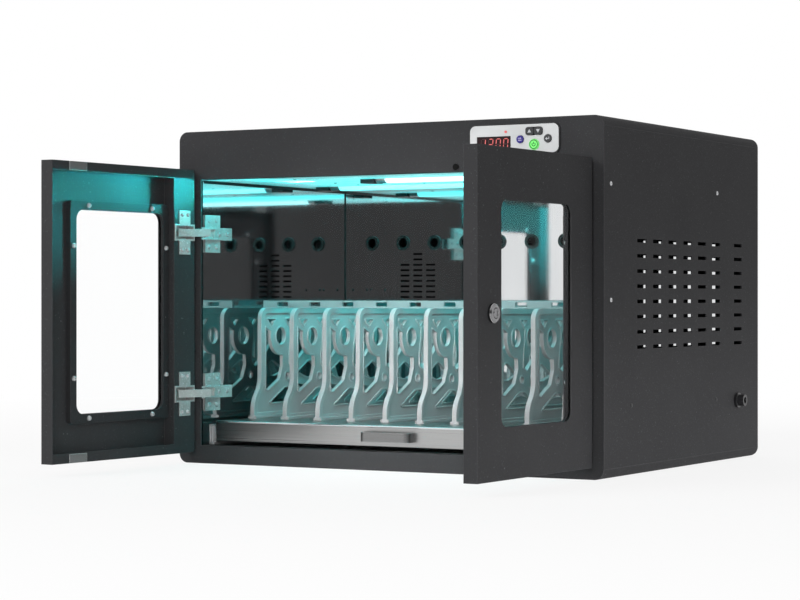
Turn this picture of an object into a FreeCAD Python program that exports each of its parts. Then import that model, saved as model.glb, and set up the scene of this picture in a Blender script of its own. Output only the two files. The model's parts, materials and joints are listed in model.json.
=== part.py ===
"""A countertop cabinet that charges handheld devices and cleans them with ultraviolet light.

Millimetres. +X is to the right, +Y to the back and +Z up. The origin is under the middle of the
cabinet, on the surface that it stands on. Every height is measured from there. Both doors stand
open, as they do in use.
"""
import FreeCAD, Part
import math
import os
import re

doc = FreeCAD.newDocument("uv_charging_station")
sheet = doc.addObject("Spreadsheet::Sheet", "Sizes")

SIZES = {
    # Cabinet
    "width": 495, "depth": 402, "height": 350, "sheet_wall": 1.5, "corner_radius": 10,
    "side_stile": 27.5, "top_rail": 50.5, "opening_bottom": 19, "flange_depth": 14, "cut_overrun": 4,
    # Side vents, in columns from front to back
    "vent_length": 23, "vent_height": 3.6, "vent_rear_gap": 61.5, "vent_pitch_z": 15,
    "vent_from_front": 89, "vent_from_back": 59, "vent_top": 231, "vent_columns": 6, "vent_rows": 8,
    # Rear cover vents
    "rear_vent_length": 40, "rear_vent_pitch": 12, "rear_vent_side": 127.5, "rear_vent_low": 87.5,
    "rear_vent_rows": 6,
    # Cable gland on the right side
    "gland_from_back": 63, "gland_height": 64, "gland_flange_radius": 8, "gland_flange": 3,
    "gland_cap_radius": 6.2, "gland_cap": 7, "gland_bore_radius": 3.5, "gland_neck_radius": 5,
    "gland_neck": 9, "gland_nut_radius": 8, "gland_nut": 4,
    # Inner lining
    "liner_sheet": 1, "liner_setback": 12, "liner_front": 21, "rear_space": 89,
    "bays": 10, "grommet_drop": 61.5, "grommet_shift": -8, "grommet_hole_radius": 7,
    "grommet_radius": 8.6, "grommet_lip": 1.6, "grommet_bore_radius": 5.5,
    "slot_length": 11.7, "slot_height": 2.2, "slot_pitch_x": 17, "slot_pitch_z": 6.2,
    "slot_group_side": 98, "slot_drop": 62.5, "slot_rows": 7, "slot_extra_rows": 2,
    # Ultraviolet lamps in the ceiling
    "lamp_radius": 8, "lamp_length": 254, "lamp_end_gap": 38, "lamp_drop": 4, "lamp_front_gap": 97,
    "lamp_back_gap": 90,
    "lamp_cap_length": 12, "lamp_cap_gap": 0.3, "holder_length": 16, "holder_width": 20,
    "trough_width": 34, "trough_height": 20,
    # Rear compartment
    "strip_end": 10, "strip_height": 46, "strip_depth": 34, "strip_base": 57.5, "outlet_width": 26,
    "outlet_height": 30, "outlet_proud": 2, "ballast_length": 150, "ballast_depth": 44, "ballast_height": 30,
    # Tray with its slides
    "tray_side_gap": 6, "tray_front": 17, "tray_back_gap": 18, "tray_top": 44, "tray_apron": 20.5,
    "tray_sheet": 1.5, "tray_edge_radius": 3, "tray_margin": 6.5,
    "rail_height": 20, "rail_sheet": 1.5, "rail_gap": 1, "rail_depth": 6, "rail_past": 2,
    "runner_gap": 0.4, "runner_inset": 2.5,
    "handle_width": 58, "handle_height": 9.5, "handle_proud": 12, "handle_strap": 2.5,
    "handle_base": 28.5, "handle_bend": 6,
    # Dividers that stand on the tray
    "divider_web": 2.6, "divider_rim": 5, "divider_rim_width": 6, "divider_height": 119.5,
    "divider_front": 79, "divider_back_gap": 4, "divider_toe": 14, "divider_toe_height": 10,
    "divider_knee": 45, "divider_bow": 1.8, "divider_bead": 1.4, "divider_bead_thick": 4.2,
    "divider_corner": 12, "divider_foot": 10, "divider_foot_height": 3,
    "tie_height": 8, "tie_sheet": 3, "tie_inset": 14, "tie_overhang": 4, "tie_hole_length": 14,
    "tie_hole_height": 4.5,
    # Doors
    "door_edge": 21.5, "door_base_lap": 7.1, "door_top_lap": 9.8, "door_thick": 14, "door_sheet": 1.2,
    "door_gap": 2.5, "door_meeting_gap": 2, "door_lip": 10, "door_stile": 34.5,
    "window_margin_x": 44, "window_margin_z": 47, "window_radius": 10, "pane": 3,
    "pane_overlap": 7, "pane_gap": 0.3, "frame_lap": 9, "frame_thick": 6, "frame_radius": 3,
    "screw_radius": 2.3, "screw_head": 1.7, "screw_inset": 4.6, "screw_from_corner_x": 27.5,
    "screw_from_corner_z": 45,
    "strike_length": 26, "strike_height": 9, "strike_sheet": 0.8, "strike_inset": 25,
    "bumper_side": 133.4, "bumper_above": 4.6, "bumper_radius": 3.2, "bumper_proud": 1.4,
    # Key lock in the right door
    "lock_inset": 27, "lock_above": 0.4, "lock_collar_radius": 8.7, "lock_collar": 2.6,
    "lock_barrel_radius": 5.7, "lock_barrel_gap": 0.05, "lock_core_radius": 4.6, "lock_core_proud": 0.6,
    "key_slot_width": 1.2, "key_slot_length": 6, "key_slot_depth": 4,
    "cam_length": 42, "cam_width": 12, "cam_sheet": 1.5, "cam_behind": 0.6,
    # Concealed hinges. Places are measured from the pivot that a door turns about
    "hinge_from_base": 62.1, "hinge_from_top": 66.3, "pivot_edge": 0.8, "pivot_depth": 2.8,
    "arm_pin_out": 8.5, "arm_pin_back": 11.1, "crank_in": 3.2, "crank_back": 28.9, "cup_pin_in": 20.8,
    "cup_pin_out": 2.2, "link_sheet": 2.5, "link_height": 8, "knuckle_radius": 3, "hinge_pin_radius": 1.2,
    "pin_gap": 0.05, "ear_sheet": 2, "ear_width": 4.2, "ear_run": 11, "ear_gap": 0.5,
    "arm_length": 33, "arm_start": 36, "arm_sheet": 2.4,
    "plate_length": 28, "plate_height": 40, "plate_sheet": 2.4, "plate_start": 22,
    "cup_plate_height": 46, "cup_plate_waist": 18, "cup_plate_sheet": 1,
    "cup_edge": 2.3, "cup_length": 29.7, "cup_height": 14, "cup_wall": 0.8, "cup_rim": 1.6, "cup_depth": 10.5,
    "left_open_deg": 92.8, "right_open_deg": 88.9, "link_turn_share": 0.6046,
    # Control panel on the top rail. Its keys are placed from its right end and its lower edge
    "panel_side": 47.5, "panel_width": 97, "panel_from_top": 6.5, "panel_height": 28, "panel_radius": 6,
    "panel_sheet": 1.2, "display_in": 7.5, "keys_width": 52, "display_up": 1.8, "display_height": 15.4,
    "display_lens": 0.6, "button_proud": 1.2, "button_back": 5.2, "button_gap": 0.3, "button_travel": 1,
    "blue_from_end": 41.5, "blue_up": 13.5, "blue_radius": 3.7,
    "grey_from_end": 11.5, "grey_up": 13.5, "grey_radius": 3.9,
    "power_from_end": 26.4, "power_up": 8.2, "power_radius": 5.1,
    "arrow_split_from_end": 26.4, "arrow_up": 21.2, "arrow_length": 8.8, "arrow_tall": 7.6, "arrow_gap": 0.5,
    "arrow_radius": 2.4, "led_from_end": 57.4, "led_up": 21.4, "led_radius": 1.3,
    "board_margin": 3.5, "board_sheet": 1.6, "board_back": 9.5, "standoff_radius": 2.5, "standoff_inset": 4,
    "switch_side": 6, "switch_gap": 0.3,
}


def follow(name, number):
    """A size that is worked out from others."""
    SIZES[name] = number


def given(name):
    return SIZES[name]


follow("opening_width", given("width") - 2 * given("side_stile"))
follow("opening_top", given("height") - given("top_rail"))
follow("liner_width", given("opening_width") + 2 * given("liner_setback"))
follow("partition_y", given("depth") / 2 - given("rear_space"))
follow("vent_first_y", given("vent_from_front") - given("depth") / 2)
follow("vent_rear_y", given("depth") / 2 - given("vent_from_back"))
follow("vent_pitch_y", (given("vent_rear_y") - given("vent_first_y") - given("vent_rear_gap"))
       / (given("vent_columns") - 1))
follow("rear_vent_x", given("width") / 2 - given("rear_vent_side"))
follow("gland_y", given("depth") / 2 - given("gland_from_back"))
follow("grommet_height", given("opening_top") - given("grommet_drop"))
follow("slot_low", given("grommet_height") - given("slot_drop"))
follow("slot_group_x", given("liner_width") / 2 - given("slot_group_side"))
follow("lamp_offset", given("liner_width") / 2 - given("lamp_end_gap") - given("lamp_length") / 2)
follow("lamp_front_y", given("lamp_front_gap") - given("depth") / 2)
follow("lamp_rear_y", given("partition_y") - given("lamp_back_gap"))
follow("strip_length", given("opening_width") - 2 * given("strip_end"))
follow("tray_width", given("opening_width") - 2 * given("tray_side_gap"))
follow("tray_depth", given("partition_y") - given("tray_back_gap") + given("depth") / 2 - given("tray_front"))
follow("bay_pitch", (given("tray_width") - 2 * given("tray_margin")) / given("bays"))
follow("rail_length", given("tray_depth") + given("rail_past"))
follow("divider_length", given("tray_depth") + given("tray_front") - given("divider_front")
       - given("divider_toe") - given("divider_back_gap"))
follow("door_width", given("width") / 2 - given("door_edge") - given("door_meeting_gap") / 2)
follow("door_low", given("opening_bottom") - given("door_base_lap"))
follow("door_high", given("opening_top") + given("door_top_lap"))
follow("window_width", given("door_width") - 2 * given("window_margin_x"))
follow("window_height", given("door_high") - given("door_low") - 2 * given("window_margin_z"))
follow("frame_width", given("window_width") + 2 * given("frame_lap"))
follow("frame_height", given("window_height") + 2 * given("frame_lap"))
follow("bumper_x", given("opening_width") / 2 - given("bumper_side"))
follow("bumper_height", given("opening_top") + given("bumper_above"))
follow("lock_height", (given("door_low") + given("door_high")) / 2 + given("lock_above"))
follow("hinge_low", given("door_low") + given("hinge_from_base"))
follow("hinge_high", given("door_high") - given("hinge_from_top"))
follow("panel_left", given("width") / 2 - given("panel_side") - given("panel_width"))
follow("panel_low", given("height") - given("panel_from_top") - given("panel_height"))
follow("display_left", given("panel_left") + given("display_in"))
follow("display_width", given("panel_width") - given("display_in") - given("keys_width"))
follow("display_low", given("panel_low") + given("display_up"))
for key in ("blue", "grey", "power", "led"):
    follow(key + "_x", given("panel_left") + given("panel_width") - given(key + "_from_end"))
    follow(key + "_height", given("panel_low") + given(key + "_up"))
follow("arrow_split_x", given("panel_left") + given("panel_width") - given("arrow_split_from_end"))
follow("arrow_height", given("panel_low") + given("arrow_up"))
follow("board_width", given("panel_width") + 2 * given("board_margin"))
follow("board_height", given("panel_height") + 2 * given("board_margin"))

for row, (name, number) in enumerate(SIZES.items(), start=1):
    sheet.set(f"A{row}", name)
    sheet.set(f"B{row}", str(number))
    sheet.setAlias(f"B{row}", name)
doc.recompute()


class Sheet:
    """Reads a size by its name."""

    def __getattr__(self, name):
        return float(sheet.get(name))


size = Sheet()
Vector = FreeCAD.Vector
X_AXIS, Y_AXIS, Z_AXIS = Vector(1, 0, 0), Vector(0, 1, 0), Vector(0, 0, 1)


def bound(text):
    """An expression with each size's name pointed at the sheet."""
    return re.sub(r"[a-z_]+", lambda m: "Sizes." + m.group() if m.group() in SIZES else m.group(), text)


def bind(obj, **sizes):
    for prop, text in sizes.items():
        obj.setExpression(prop, bound(text))
    return obj


def place(obj, x, y, z):
    for axis, text in zip("xyz", (x, y, z)):
        obj.setExpression("Placement.Base." + axis, bound(text))
    return obj


def block(name, x, y, z):
    """A box between two limits on each axis."""
    obj = doc.addObject("Part::Box", name)
    bind(obj, Length=f"({x[1]}) - ({x[0]})", Width=f"({y[1]}) - ({y[0]})", Height=f"({z[1]}) - ({z[0]})")
    return place(obj, x[0], y[0], z[0])


def centred(middle, extent):
    """Limits that lie alike on both sides of a middle."""
    return (f"{middle} - ({extent}) / 2", f"{middle} + ({extent}) / 2")


def across(side, near, far):
    """Limits on one side of the cabinet, from the middle outwards."""
    return (near, far) if side > 0 else (f"-({far})", f"-({near})")


def rod(name, radius, x, y, z):
    """A cylinder along the one axis that has two limits."""
    obj = doc.addObject("Part::Cylinder", name)
    turns = {0: FreeCAD.Rotation(Y_AXIS, 90), 1: FreeCAD.Rotation(X_AXIS, -90), 2: FreeCAD.Rotation()}
    limits = [x, y, z]
    along = next(i for i, limit in enumerate(limits) if isinstance(limit, tuple))
    obj.Placement = FreeCAD.Placement(Vector(), turns[along])
    bind(obj, Radius=radius, Height=f"({limits[along][1]}) - ({limits[along][0]})")
    return place(obj, *[limit[0] if isinstance(limit, tuple) else limit for limit in limits])


def rounded(name, base, radius, axis):
    """A box with its four edges along an axis rounded."""
    edges = {"z": (1, 3, 5, 7), "y": (2, 4, 6, 8), "x": (9, 10, 11, 12)}[axis]
    obj = doc.addObject("Part::Fillet", name)
    obj.Base = base
    obj.Edges = [(edge, radius, radius) for edge in edges]
    return obj


def group(name, pieces):
    obj = doc.addObject("Part::Compound", name)
    obj.Links = list(pieces)
    return obj


def joined(name, pieces):
    obj = doc.addObject("Part::MultiFuse", name)
    obj.Shapes = list(pieces)
    obj.Refine = True
    return obj


def cut(name, base, tools):
    obj = doc.addObject("Part::Cut", name)
    obj.Base = base
    obj.Tool = group(name + "_tools", tools) if isinstance(tools, list) else tools
    return obj


def mirrored(name, source):
    """The same piece on the other side of the cabinet."""
    obj = doc.addObject("Part::Mirroring", name)
    obj.Source = source
    obj.Normal = X_AXIS
    return obj


def drawn(name, shape):
    obj = doc.addObject("Part::Feature", name)
    obj.Shape = shape
    return obj


NODES = []


def node(label, pieces, turn=None):
    """A finished sub-part. A turn is an angle about +Z and the place of its axis."""
    obj = group("node_" + label, pieces if isinstance(pieces, list) else [pieces])
    obj.Label = label
    if turn:
        angle, x, y = turn
        obj.Placement = FreeCAD.Placement(Vector(), FreeCAD.Rotation(Z_AXIS, angle), Vector(x, y, 0))
    NODES.append(obj)
    return obj


def ribbon(points, thickness, low, high):
    """A bar of one thickness that follows a line of points in plan."""
    half = thickness / 2
    plan = [Vector(x, y, low) for x, y in points]
    runs = [(b - a).normalize() for a, b in zip(plan, plan[1:])]
    sides = [Vector(-run.y, run.x, 0) for run in runs]
    offsets = [sides[0] * half]
    for one, two in zip(sides, sides[1:]):
        middle = (one + two).normalize()
        offsets.append(middle * (half / middle.dot(one)))
    offsets.append(sides[-1] * half)
    outline = [p + o for p, o in zip(plan, offsets)] + [p - o for p, o in zip(plan[::-1], offsets[::-1])]
    face = Part.Face(Part.makePolygon(outline + outline[:1]))
    return face.extrude(Vector(0, 0, high - low))


# Cabinet walls

FRONT, BACK = "-depth / 2", "depth / 2"
SHELL_FRONT, SHELL_BACK = "-depth / 2 + sheet_wall", "depth / 2 - sheet_wall"


def cabinet_tube(name, inset, front, back):
    """The rounded outline of the cabinet, drawn in by an inset, from front to back."""
    base = block(name + "_box", (f"-width / 2 + {inset}", f"width / 2 - {inset}"), (front, back),
                 (inset, f"height - {inset}"))
    radius = size.corner_radius - (size.sheet_wall if inset != "0" else 0)
    return rounded(name, base, radius, "y")


tube = cut("tube", cabinet_tube("tube_outside", "0", SHELL_FRONT, SHELL_BACK),
           cabinet_tube("tube_inside", "sheet_wall", FRONT, BACK))
for label, limits in (("top_panel", ("height - corner_radius", "height + cut_overrun")),
                      ("base_panel", ("-cut_overrun", "corner_radius"))):
    band = block(label + "_band", ("-width", "width"), ("-depth", "depth"), limits)
    half = doc.addObject("Part::Common", label + "_cut")
    half.Base, half.Tool = tube, band
    node(label, half)


def vent_slots(name, x):
    slots = []
    columns = [f"vent_first_y + {i} * vent_pitch_y" for i in range(int(size.vent_columns))] + ["vent_rear_y"]
    for column, y in enumerate(columns):
        for row in range(int(size.vent_rows)):
            middle = f"vent_top - {row} * vent_pitch_z"
            slots.append(block(f"{name}_{column}_{row}", x, centred(y, "vent_length"),
                               centred(middle, "vent_height")))
    return slots


SIDE_LOW, SIDE_HIGH = "corner_radius", "height - corner_radius"
LEFT_CUT = ("-width / 2 - cut_overrun", "-width / 2 + cut_overrun")
RIGHT_CUT = ("width / 2 - cut_overrun", "width / 2 + cut_overrun")
left_side = block("left_side_sheet", ("-width / 2", "-width / 2 + sheet_wall"), (SHELL_FRONT, SHELL_BACK),
                  (SIDE_LOW, SIDE_HIGH))
node("left_side_panel", cut("left_side_vents", left_side, vent_slots("left_vent", LEFT_CUT)))
right_side = block("right_side_sheet", ("width / 2 - sheet_wall", "width / 2"), (SHELL_FRONT, SHELL_BACK),
                   (SIDE_LOW, SIDE_HIGH))
gland_hole = rod("gland_hole", "gland_neck_radius", RIGHT_CUT, "gland_y", "gland_height")
right_slots = vent_slots("right_vent", RIGHT_CUT)
node("right_side_panel", cut("right_side_vents", right_side, [*right_slots, gland_hole]))

# Front frame, with the holes of the control panel

BUTTONS = {"blue_button": ("blue_x", "blue_height", "blue_radius"),
           "grey_button": ("grey_x", "grey_height", "grey_radius"),
           "power_button": ("power_x", "power_height", "power_radius")}
ARROWS = {"up_button": ("arrow_split_x - arrow_gap / 2 - arrow_length", "arrow_split_x - arrow_gap / 2"),
          "down_button": ("arrow_split_x + arrow_gap / 2", "arrow_split_x + arrow_gap / 2 + arrow_length")}


def control_holes(name):
    """The clearance holes of the buttons, through the panel and the frame behind it."""
    through = (f"{FRONT} - cut_overrun", f"{FRONT} + cut_overrun")
    holes = [rod(f"{name}_{label}", f"{radius} + button_gap", x, through, z)
             for label, (x, z, radius) in BUTTONS.items()]
    hole = block(name + "_arrows", centred("arrow_split_x", "2 * arrow_length + arrow_gap + 2 * button_gap"),
                 through, centred("arrow_height", "arrow_tall + 2 * button_gap"))
    holes.append(rounded(name + "_arrows_round", hole, size.arrow_radius + size.button_gap, "y"))
    return holes


front_sheet = cabinet_tube("front_sheet", "0", FRONT, SHELL_FRONT)
OPENING = ("-opening_width / 2", "opening_width / 2")
door_way = block("door_way", OPENING, (f"{FRONT} - cut_overrun", f"{FRONT} + cut_overrun"),
                 ("opening_bottom", "opening_top"))
FLANGE = (SHELL_FRONT, f"{SHELL_FRONT} + flange_depth")
flanges = [block("flange_top", OPENING, FLANGE, ("opening_top", "opening_top + sheet_wall")),
           block("flange_low", OPENING, FLANGE, ("opening_bottom - sheet_wall", "opening_bottom"))]
node("front_frame", joined("front_frame_whole", [
    cut("front_frame_sheet", front_sheet, [door_way, *control_holes("frame_hole")]), *flanges]))
BUMPER_Y = (f"{FRONT} - bumper_proud", FRONT)
node("door_bumper", rod("bumper", "bumper_radius", "bumper_x", BUMPER_Y, "bumper_height"))

rear_sheet = cabinet_tube("rear_sheet", "0", SHELL_BACK, BACK)
rear_slots = []
for side in (-1, 1):
    for row in range(int(size.rear_vent_rows)):
        middle = f"rear_vent_low + {row} * rear_vent_pitch"
        rear_slots.append(block(f"rear_vent_{side + 1}_{row}",
                                centred(f"{side} * rear_vent_x", "rear_vent_length"),
                                (f"{BACK} - cut_overrun", f"{BACK} + cut_overrun"),
                                centred(middle, "vent_height")))
node("rear_cover", cut("rear_cover_vents", rear_sheet, rear_slots))

# Cable gland

GLAND_FACE = "width / 2"
FLANGE_FACE = "width / 2 + gland_flange"
NUT_FACE = "width / 2 - sheet_wall"


def gland_rod(name, radius, x):
    return rod(name, radius, x, "gland_y", "gland_height")


gland = joined("gland_whole", [
    gland_rod("gland_neck", "gland_neck_radius", (f"{GLAND_FACE} - gland_neck", GLAND_FACE)),
    gland_rod("gland_flange", "gland_flange_radius", (GLAND_FACE, FLANGE_FACE)),
    gland_rod("gland_cap", "gland_cap_radius", (FLANGE_FACE, f"{FLANGE_FACE} + gland_cap"))])
GLAND_THROUGH = (f"{GLAND_FACE} - gland_neck - cut_overrun", f"{FLANGE_FACE} + gland_cap + cut_overrun")
gland_bore = gland_rod("gland_bore", "gland_bore_radius", GLAND_THROUGH)
node("cable_gland", cut("gland_bored", gland, gland_bore))
nut_disc = gland_rod("gland_nut_disc", "gland_nut_radius", (f"{NUT_FACE} - gland_nut", NUT_FACE))
nut_hole = gland_rod("gland_nut_hole", "gland_neck_radius",
                     (f"{NUT_FACE} - gland_nut - cut_overrun", GLAND_FACE))
node("gland_nut", cut("gland_nut_bored", nut_disc, nut_hole))

# Polished lining of the chamber

LINER_IN, LINER_OUT = "liner_width / 2", "liner_width / 2 + liner_sheet"
FLOOR_TOP = "opening_bottom + liner_sheet"
LINER_FRONT = f"{FRONT} + liner_front"
PARTITION_BACK = "partition_y + liner_sheet"
CEILING_FRONT = f"{SHELL_FRONT} + flange_depth"

node("floor_panel", block("floor_sheet", (f"-({LINER_OUT})", LINER_OUT),
                          (f"{SHELL_FRONT} + sheet_wall", PARTITION_BACK), ("opening_bottom", FLOOR_TOP)))
for side, label in ((-1, "left_liner"), (1, "right_liner")):
    node(label, block(label + "_sheet", across(side, LINER_IN, LINER_OUT), (LINER_FRONT, "partition_y"),
                      (FLOOR_TOP, "opening_top")))

# The front tube stands to the right and the rear one to the left
LAMPS = (("lamp_offset", "lamp_front_y"), ("-lamp_offset", "lamp_rear_y"))
TROUGH_TOP = "opening_top + trough_height"
TROUGH_LENGTH = "lamp_length + 2 * (holder_length + liner_sheet)"
ceiling = [block("ceiling_sheet", (f"-({LINER_OUT})", LINER_OUT), (CEILING_FRONT, PARTITION_BACK),
                 ("opening_top", "opening_top + liner_sheet"))]
ceiling_cuts = []
for i, (x, y) in enumerate(LAMPS):
    ceiling.append(block(f"trough_{i}", centred(x, f"{TROUGH_LENGTH} + 2 * liner_sheet"),
                         centred(y, "trough_width + 2 * liner_sheet"),
                         ("opening_top", f"{TROUGH_TOP} + liner_sheet")))
    ceiling_cuts.append(block(f"trough_inside_{i}", centred(x, TROUGH_LENGTH), centred(y, "trough_width"),
                              ("opening_top - cut_overrun", TROUGH_TOP)))
node("ceiling_reflector", cut("ceiling_troughs", joined("ceiling_whole", ceiling), ceiling_cuts))

LAMP_AXIS = "opening_top - lamp_drop + lamp_radius"


def lamp_end(x, side, near, far):
    """A stretch at one end of a tube, between two distances from the tube's middle."""
    return tuple(f"{x} + {limit}" for limit in across(side, near, far))


tubes, caps, holders = [], [], []
for i, (x, y) in enumerate(LAMPS):
    glass = centred(x, "lamp_length - 2 * lamp_cap_length")
    tubes.append(rod(f"lamp_glass_{i}", "lamp_radius", glass, y, LAMP_AXIS))
    for side in (-1, 1):
        cap = lamp_end(x, side, "lamp_length / 2 - lamp_cap_length", "lamp_length / 2")
        caps.append(rod(f"lamp_cap_{i}_{side + 1}", "lamp_radius", cap, y, LAMP_AXIS))
        holder = lamp_end(x, side, "lamp_length / 2 + lamp_cap_gap", "lamp_length / 2 + holder_length")
        holders.append(block(f"holder_{i}_{side + 1}", holder, centred(y, "holder_width"),
                             ("opening_top - lamp_drop", TROUGH_TOP)))
node("uv_tubes", tubes)
node("tube_caps", caps)
node("lamp_holders", holders)

partition_sheet = block("partition_sheet", (f"-({LINER_OUT})", LINER_OUT), ("partition_y", PARTITION_BACK),
                        (FLOOR_TOP, "opening_top"))
THROUGH_PARTITION = ("partition_y - cut_overrun", f"{PARTITION_BACK} + cut_overrun")
bay_count = int(size.bays)
BAY_CENTRES = [f"({i} - (bays - 1) / 2) * bay_pitch" for i in range(bay_count)]
GROMMET_CENTRES = [f"{x} + grommet_shift" for x in BAY_CENTRES]
partition_cuts = [rod(f"grommet_hole_{i}", "grommet_hole_radius", x, THROUGH_PARTITION, "grommet_height")
                  for i, x in enumerate(GROMMET_CENTRES)]
for side in (-1, 1):
    for column in (-1, 0, 1):
        rows = int(size.slot_rows) + (int(size.slot_extra_rows) if column == 0 else 0)
        for row in range(rows):
            x = f"{side} * slot_group_x + {column} * slot_pitch_x"
            z = f"slot_low + {row} * slot_pitch_z"
            partition_cuts.append(block(f"slot_{side + 1}_{column + 1}_{row}", centred(x, "slot_length"),
                                        THROUGH_PARTITION, centred(z, "slot_height")))
node("rear_partition", cut("partition_cut", partition_sheet, partition_cuts))

grommets = []
for i, x in enumerate(GROMMET_CENTRES):
    ring = joined(f"grommet_ring_{i}", [
        rod(f"grommet_neck_{i}", "grommet_hole_radius", x, ("partition_y", PARTITION_BACK), "grommet_height"),
        rod(f"grommet_lip_{i}", "grommet_radius", x, ("partition_y - grommet_lip", "partition_y"),
            "grommet_height"),
        rod(f"grommet_tail_{i}", "grommet_radius", x, (PARTITION_BACK, f"{PARTITION_BACK} + grommet_lip"),
            "grommet_height")])
    bore = rod(f"grommet_bore_{i}", "grommet_bore_radius", x, THROUGH_PARTITION, "grommet_height")
    grommets.append(cut(f"grommet_{i}", ring, bore))
node("cable_grommets", grommets)

# Power in the rear compartment

STRIP_BACK = f"{PARTITION_BACK} + strip_depth"
strip_body = block("strip_body", centred("0", "strip_length"), (PARTITION_BACK, STRIP_BACK),
                   ("strip_base", "strip_base + strip_height"))
outlets = [block(f"outlet_{i}", centred(x, "outlet_width"), (STRIP_BACK, f"{STRIP_BACK} + outlet_proud"),
                 centred("strip_base + strip_height / 2", "outlet_height"))
           for i, x in enumerate(BAY_CENTRES)]
node("outlet_strip", joined("outlet_strip_whole", [strip_body, *outlets]))
node("lamp_ballast", block("ballast", centred("0", "ballast_length"),
                           (f"{SHELL_BACK} - ballast_depth", SHELL_BACK),
                           ("sheet_wall", "sheet_wall + ballast_height")))

# Tray on its slides

TRAY_FRONT = f"{FRONT} + tray_front"
TRAY_BACK = f"{TRAY_FRONT} + tray_depth"
TRAY_LOW = "tray_top - tray_apron"
tray_block = block("tray_block", centred("0", "tray_width"), (TRAY_FRONT, TRAY_BACK), (TRAY_LOW, "tray_top"))
tray_hollow = block("tray_hollow", centred("0", "tray_width - 2 * tray_sheet"),
                    (f"{TRAY_FRONT} + tray_sheet", f"{TRAY_BACK} - tray_sheet"),
                    (f"{TRAY_LOW} - cut_overrun", "tray_top - tray_sheet"))
node("tray", cut("tray_pan", rounded("tray_round", tray_block, size.tray_edge_radius, "z"), tray_hollow))

RAIL_NEAR = "tray_width / 2 + rail_gap"
RAIL_FAR = f"{RAIL_NEAR} + rail_depth"
RAIL_TOP = f"{FLOOR_TOP} + rail_height"
RAIL_BACK = f"{TRAY_FRONT} + rail_length"
rails, runners = [], []
for side in (-1, 1):
    rail = block(f"rail_{side + 1}", across(side, RAIL_NEAR, RAIL_FAR), (TRAY_FRONT, RAIL_BACK),
                 (FLOOR_TOP, RAIL_TOP))
    channel = block(f"rail_channel_{side + 1}",
                    across(side, f"{RAIL_NEAR} - cut_overrun", f"{RAIL_FAR} - rail_sheet"),
                    (f"{TRAY_FRONT} - cut_overrun", f"{RAIL_BACK} + cut_overrun"),
                    (f"{FLOOR_TOP} + rail_sheet", f"{RAIL_TOP} - rail_sheet"))
    rails.append(cut(f"rail_cut_{side + 1}", rail, channel))
    runners.append(block(f"runner_{side + 1}",
                         across(side, "tray_width / 2", f"{RAIL_FAR} - rail_sheet - runner_gap"),
                         (f"{TRAY_FRONT} + runner_inset", TRAY_BACK),
                         (f"{FLOOR_TOP} + rail_sheet + runner_gap", f"{RAIL_TOP} - rail_sheet - runner_gap")))
node("slide_rails", rails)
node("tray_runners", runners)

HANDLE_FRONT = f"{TRAY_FRONT} - handle_proud"
HANDLE_CUT_BACK = f"{TRAY_FRONT} + handle_bend + cut_overrun"
HANDLE_CUT_Z = ("handle_base - cut_overrun", "handle_base + handle_height + cut_overrun")
handle_block = block("handle_block", centred("0", "handle_width"),
                     (HANDLE_FRONT, f"{TRAY_FRONT} + handle_bend"),
                     ("handle_base", "handle_base + handle_height"))
handle_gap = block("handle_gap", centred("0", "handle_width - 2 * handle_strap"),
                   (f"{HANDLE_FRONT} + handle_strap", HANDLE_CUT_BACK), HANDLE_CUT_Z)
handle_end = block("handle_end", centred("0", "2 * handle_width"), (TRAY_FRONT, HANDLE_CUT_BACK),
                   HANDLE_CUT_Z)
node("tray_handle", cut("handle_strap_cut", rounded("handle_round", handle_block, size.handle_bend, "z"), [
    rounded("handle_gap_round", handle_gap, size.handle_bend - size.handle_strap, "z"), handle_end]))

# Dividers: a lattice web in a thicker rim. These are places on the front half, as shares of the length
# and the height inside the rim. The rear half mirrors them

RING = (0.185, 0.770)
RING_SHARE, RING_HOLE_SHARE = 0.195, 0.088
HUB_HOLE = (0.258, 0.361)
HUB_HOLE_SHARE = 0.037
FRONT_GAPS = (
    ((0.025, 0.860), (0.077, 0.820), (0.201, 0.562), (0.205, 0.464), (0.170, 0.327), (0.044, 0.219),
     (0.025, 0.229)),
    ((0.043, 0.941), (0.153, 0.941), (0.086, 0.874)),
    ((0.217, 0.941), (0.327, 0.941), (0.284, 0.874)),
    ((0.070, 0.093), (0.226, 0.237), (0.290, 0.237), (0.446, 0.093)),
    ((0.280, 0.577), (0.280, 0.484), (0.312, 0.447), (0.430, 0.591), (0.484, 0.688), (0.484, 0.856),
     (0.301, 0.856)),
)
MIDDLE_GAPS = (
    ((0.371, 0.391), (0.489, 0.502), (0.511, 0.502), (0.629, 0.391), (0.527, 0.338), (0.473, 0.338)),
    ((0.349, 0.279), (0.500, 0.242), (0.651, 0.279), (0.543, 0.172), (0.457, 0.172)),
)


def divider_outline(inset):
    """The side view of a divider: a straight front that sweeps forward to its toe, drawn in by an inset."""
    front, back = size.divider_toe + inset, size.divider_toe + size.divider_length - inset
    top, corner = size.divider_height - inset, size.divider_corner - inset
    heel = [Vector(0, back, inset), Vector(0, back, top)]
    brow = Vector(0, front + corner, top)
    bend = Vector(0, front + corner - corner / math.sqrt(2), top - corner + corner / math.sqrt(2))
    shoulder = Vector(0, front, top - corner)
    knee = Vector(0, front, size.divider_knee)
    toe = Vector(0, inset, size.divider_toe_height)
    middle = (knee + toe) / 2
    bow = Vector(0, size.divider_bow, 0)
    tip = Vector(0, inset, inset)
    edges = [Part.makeLine(*heel), Part.makeLine(heel[1], brow), Part.Arc(brow, bend, shoulder).toShape(),
             Part.makeLine(shoulder, knee), Part.Arc(knee, (knee + middle) / 2 + bow, middle).toShape(),
             Part.Arc(middle, (middle + toe) / 2 - bow, toe).toShape(),
             Part.makeLine(toe, tip), Part.makeLine(tip, heel[0])]
    return Part.Face(Part.Wire(edges))


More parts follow.
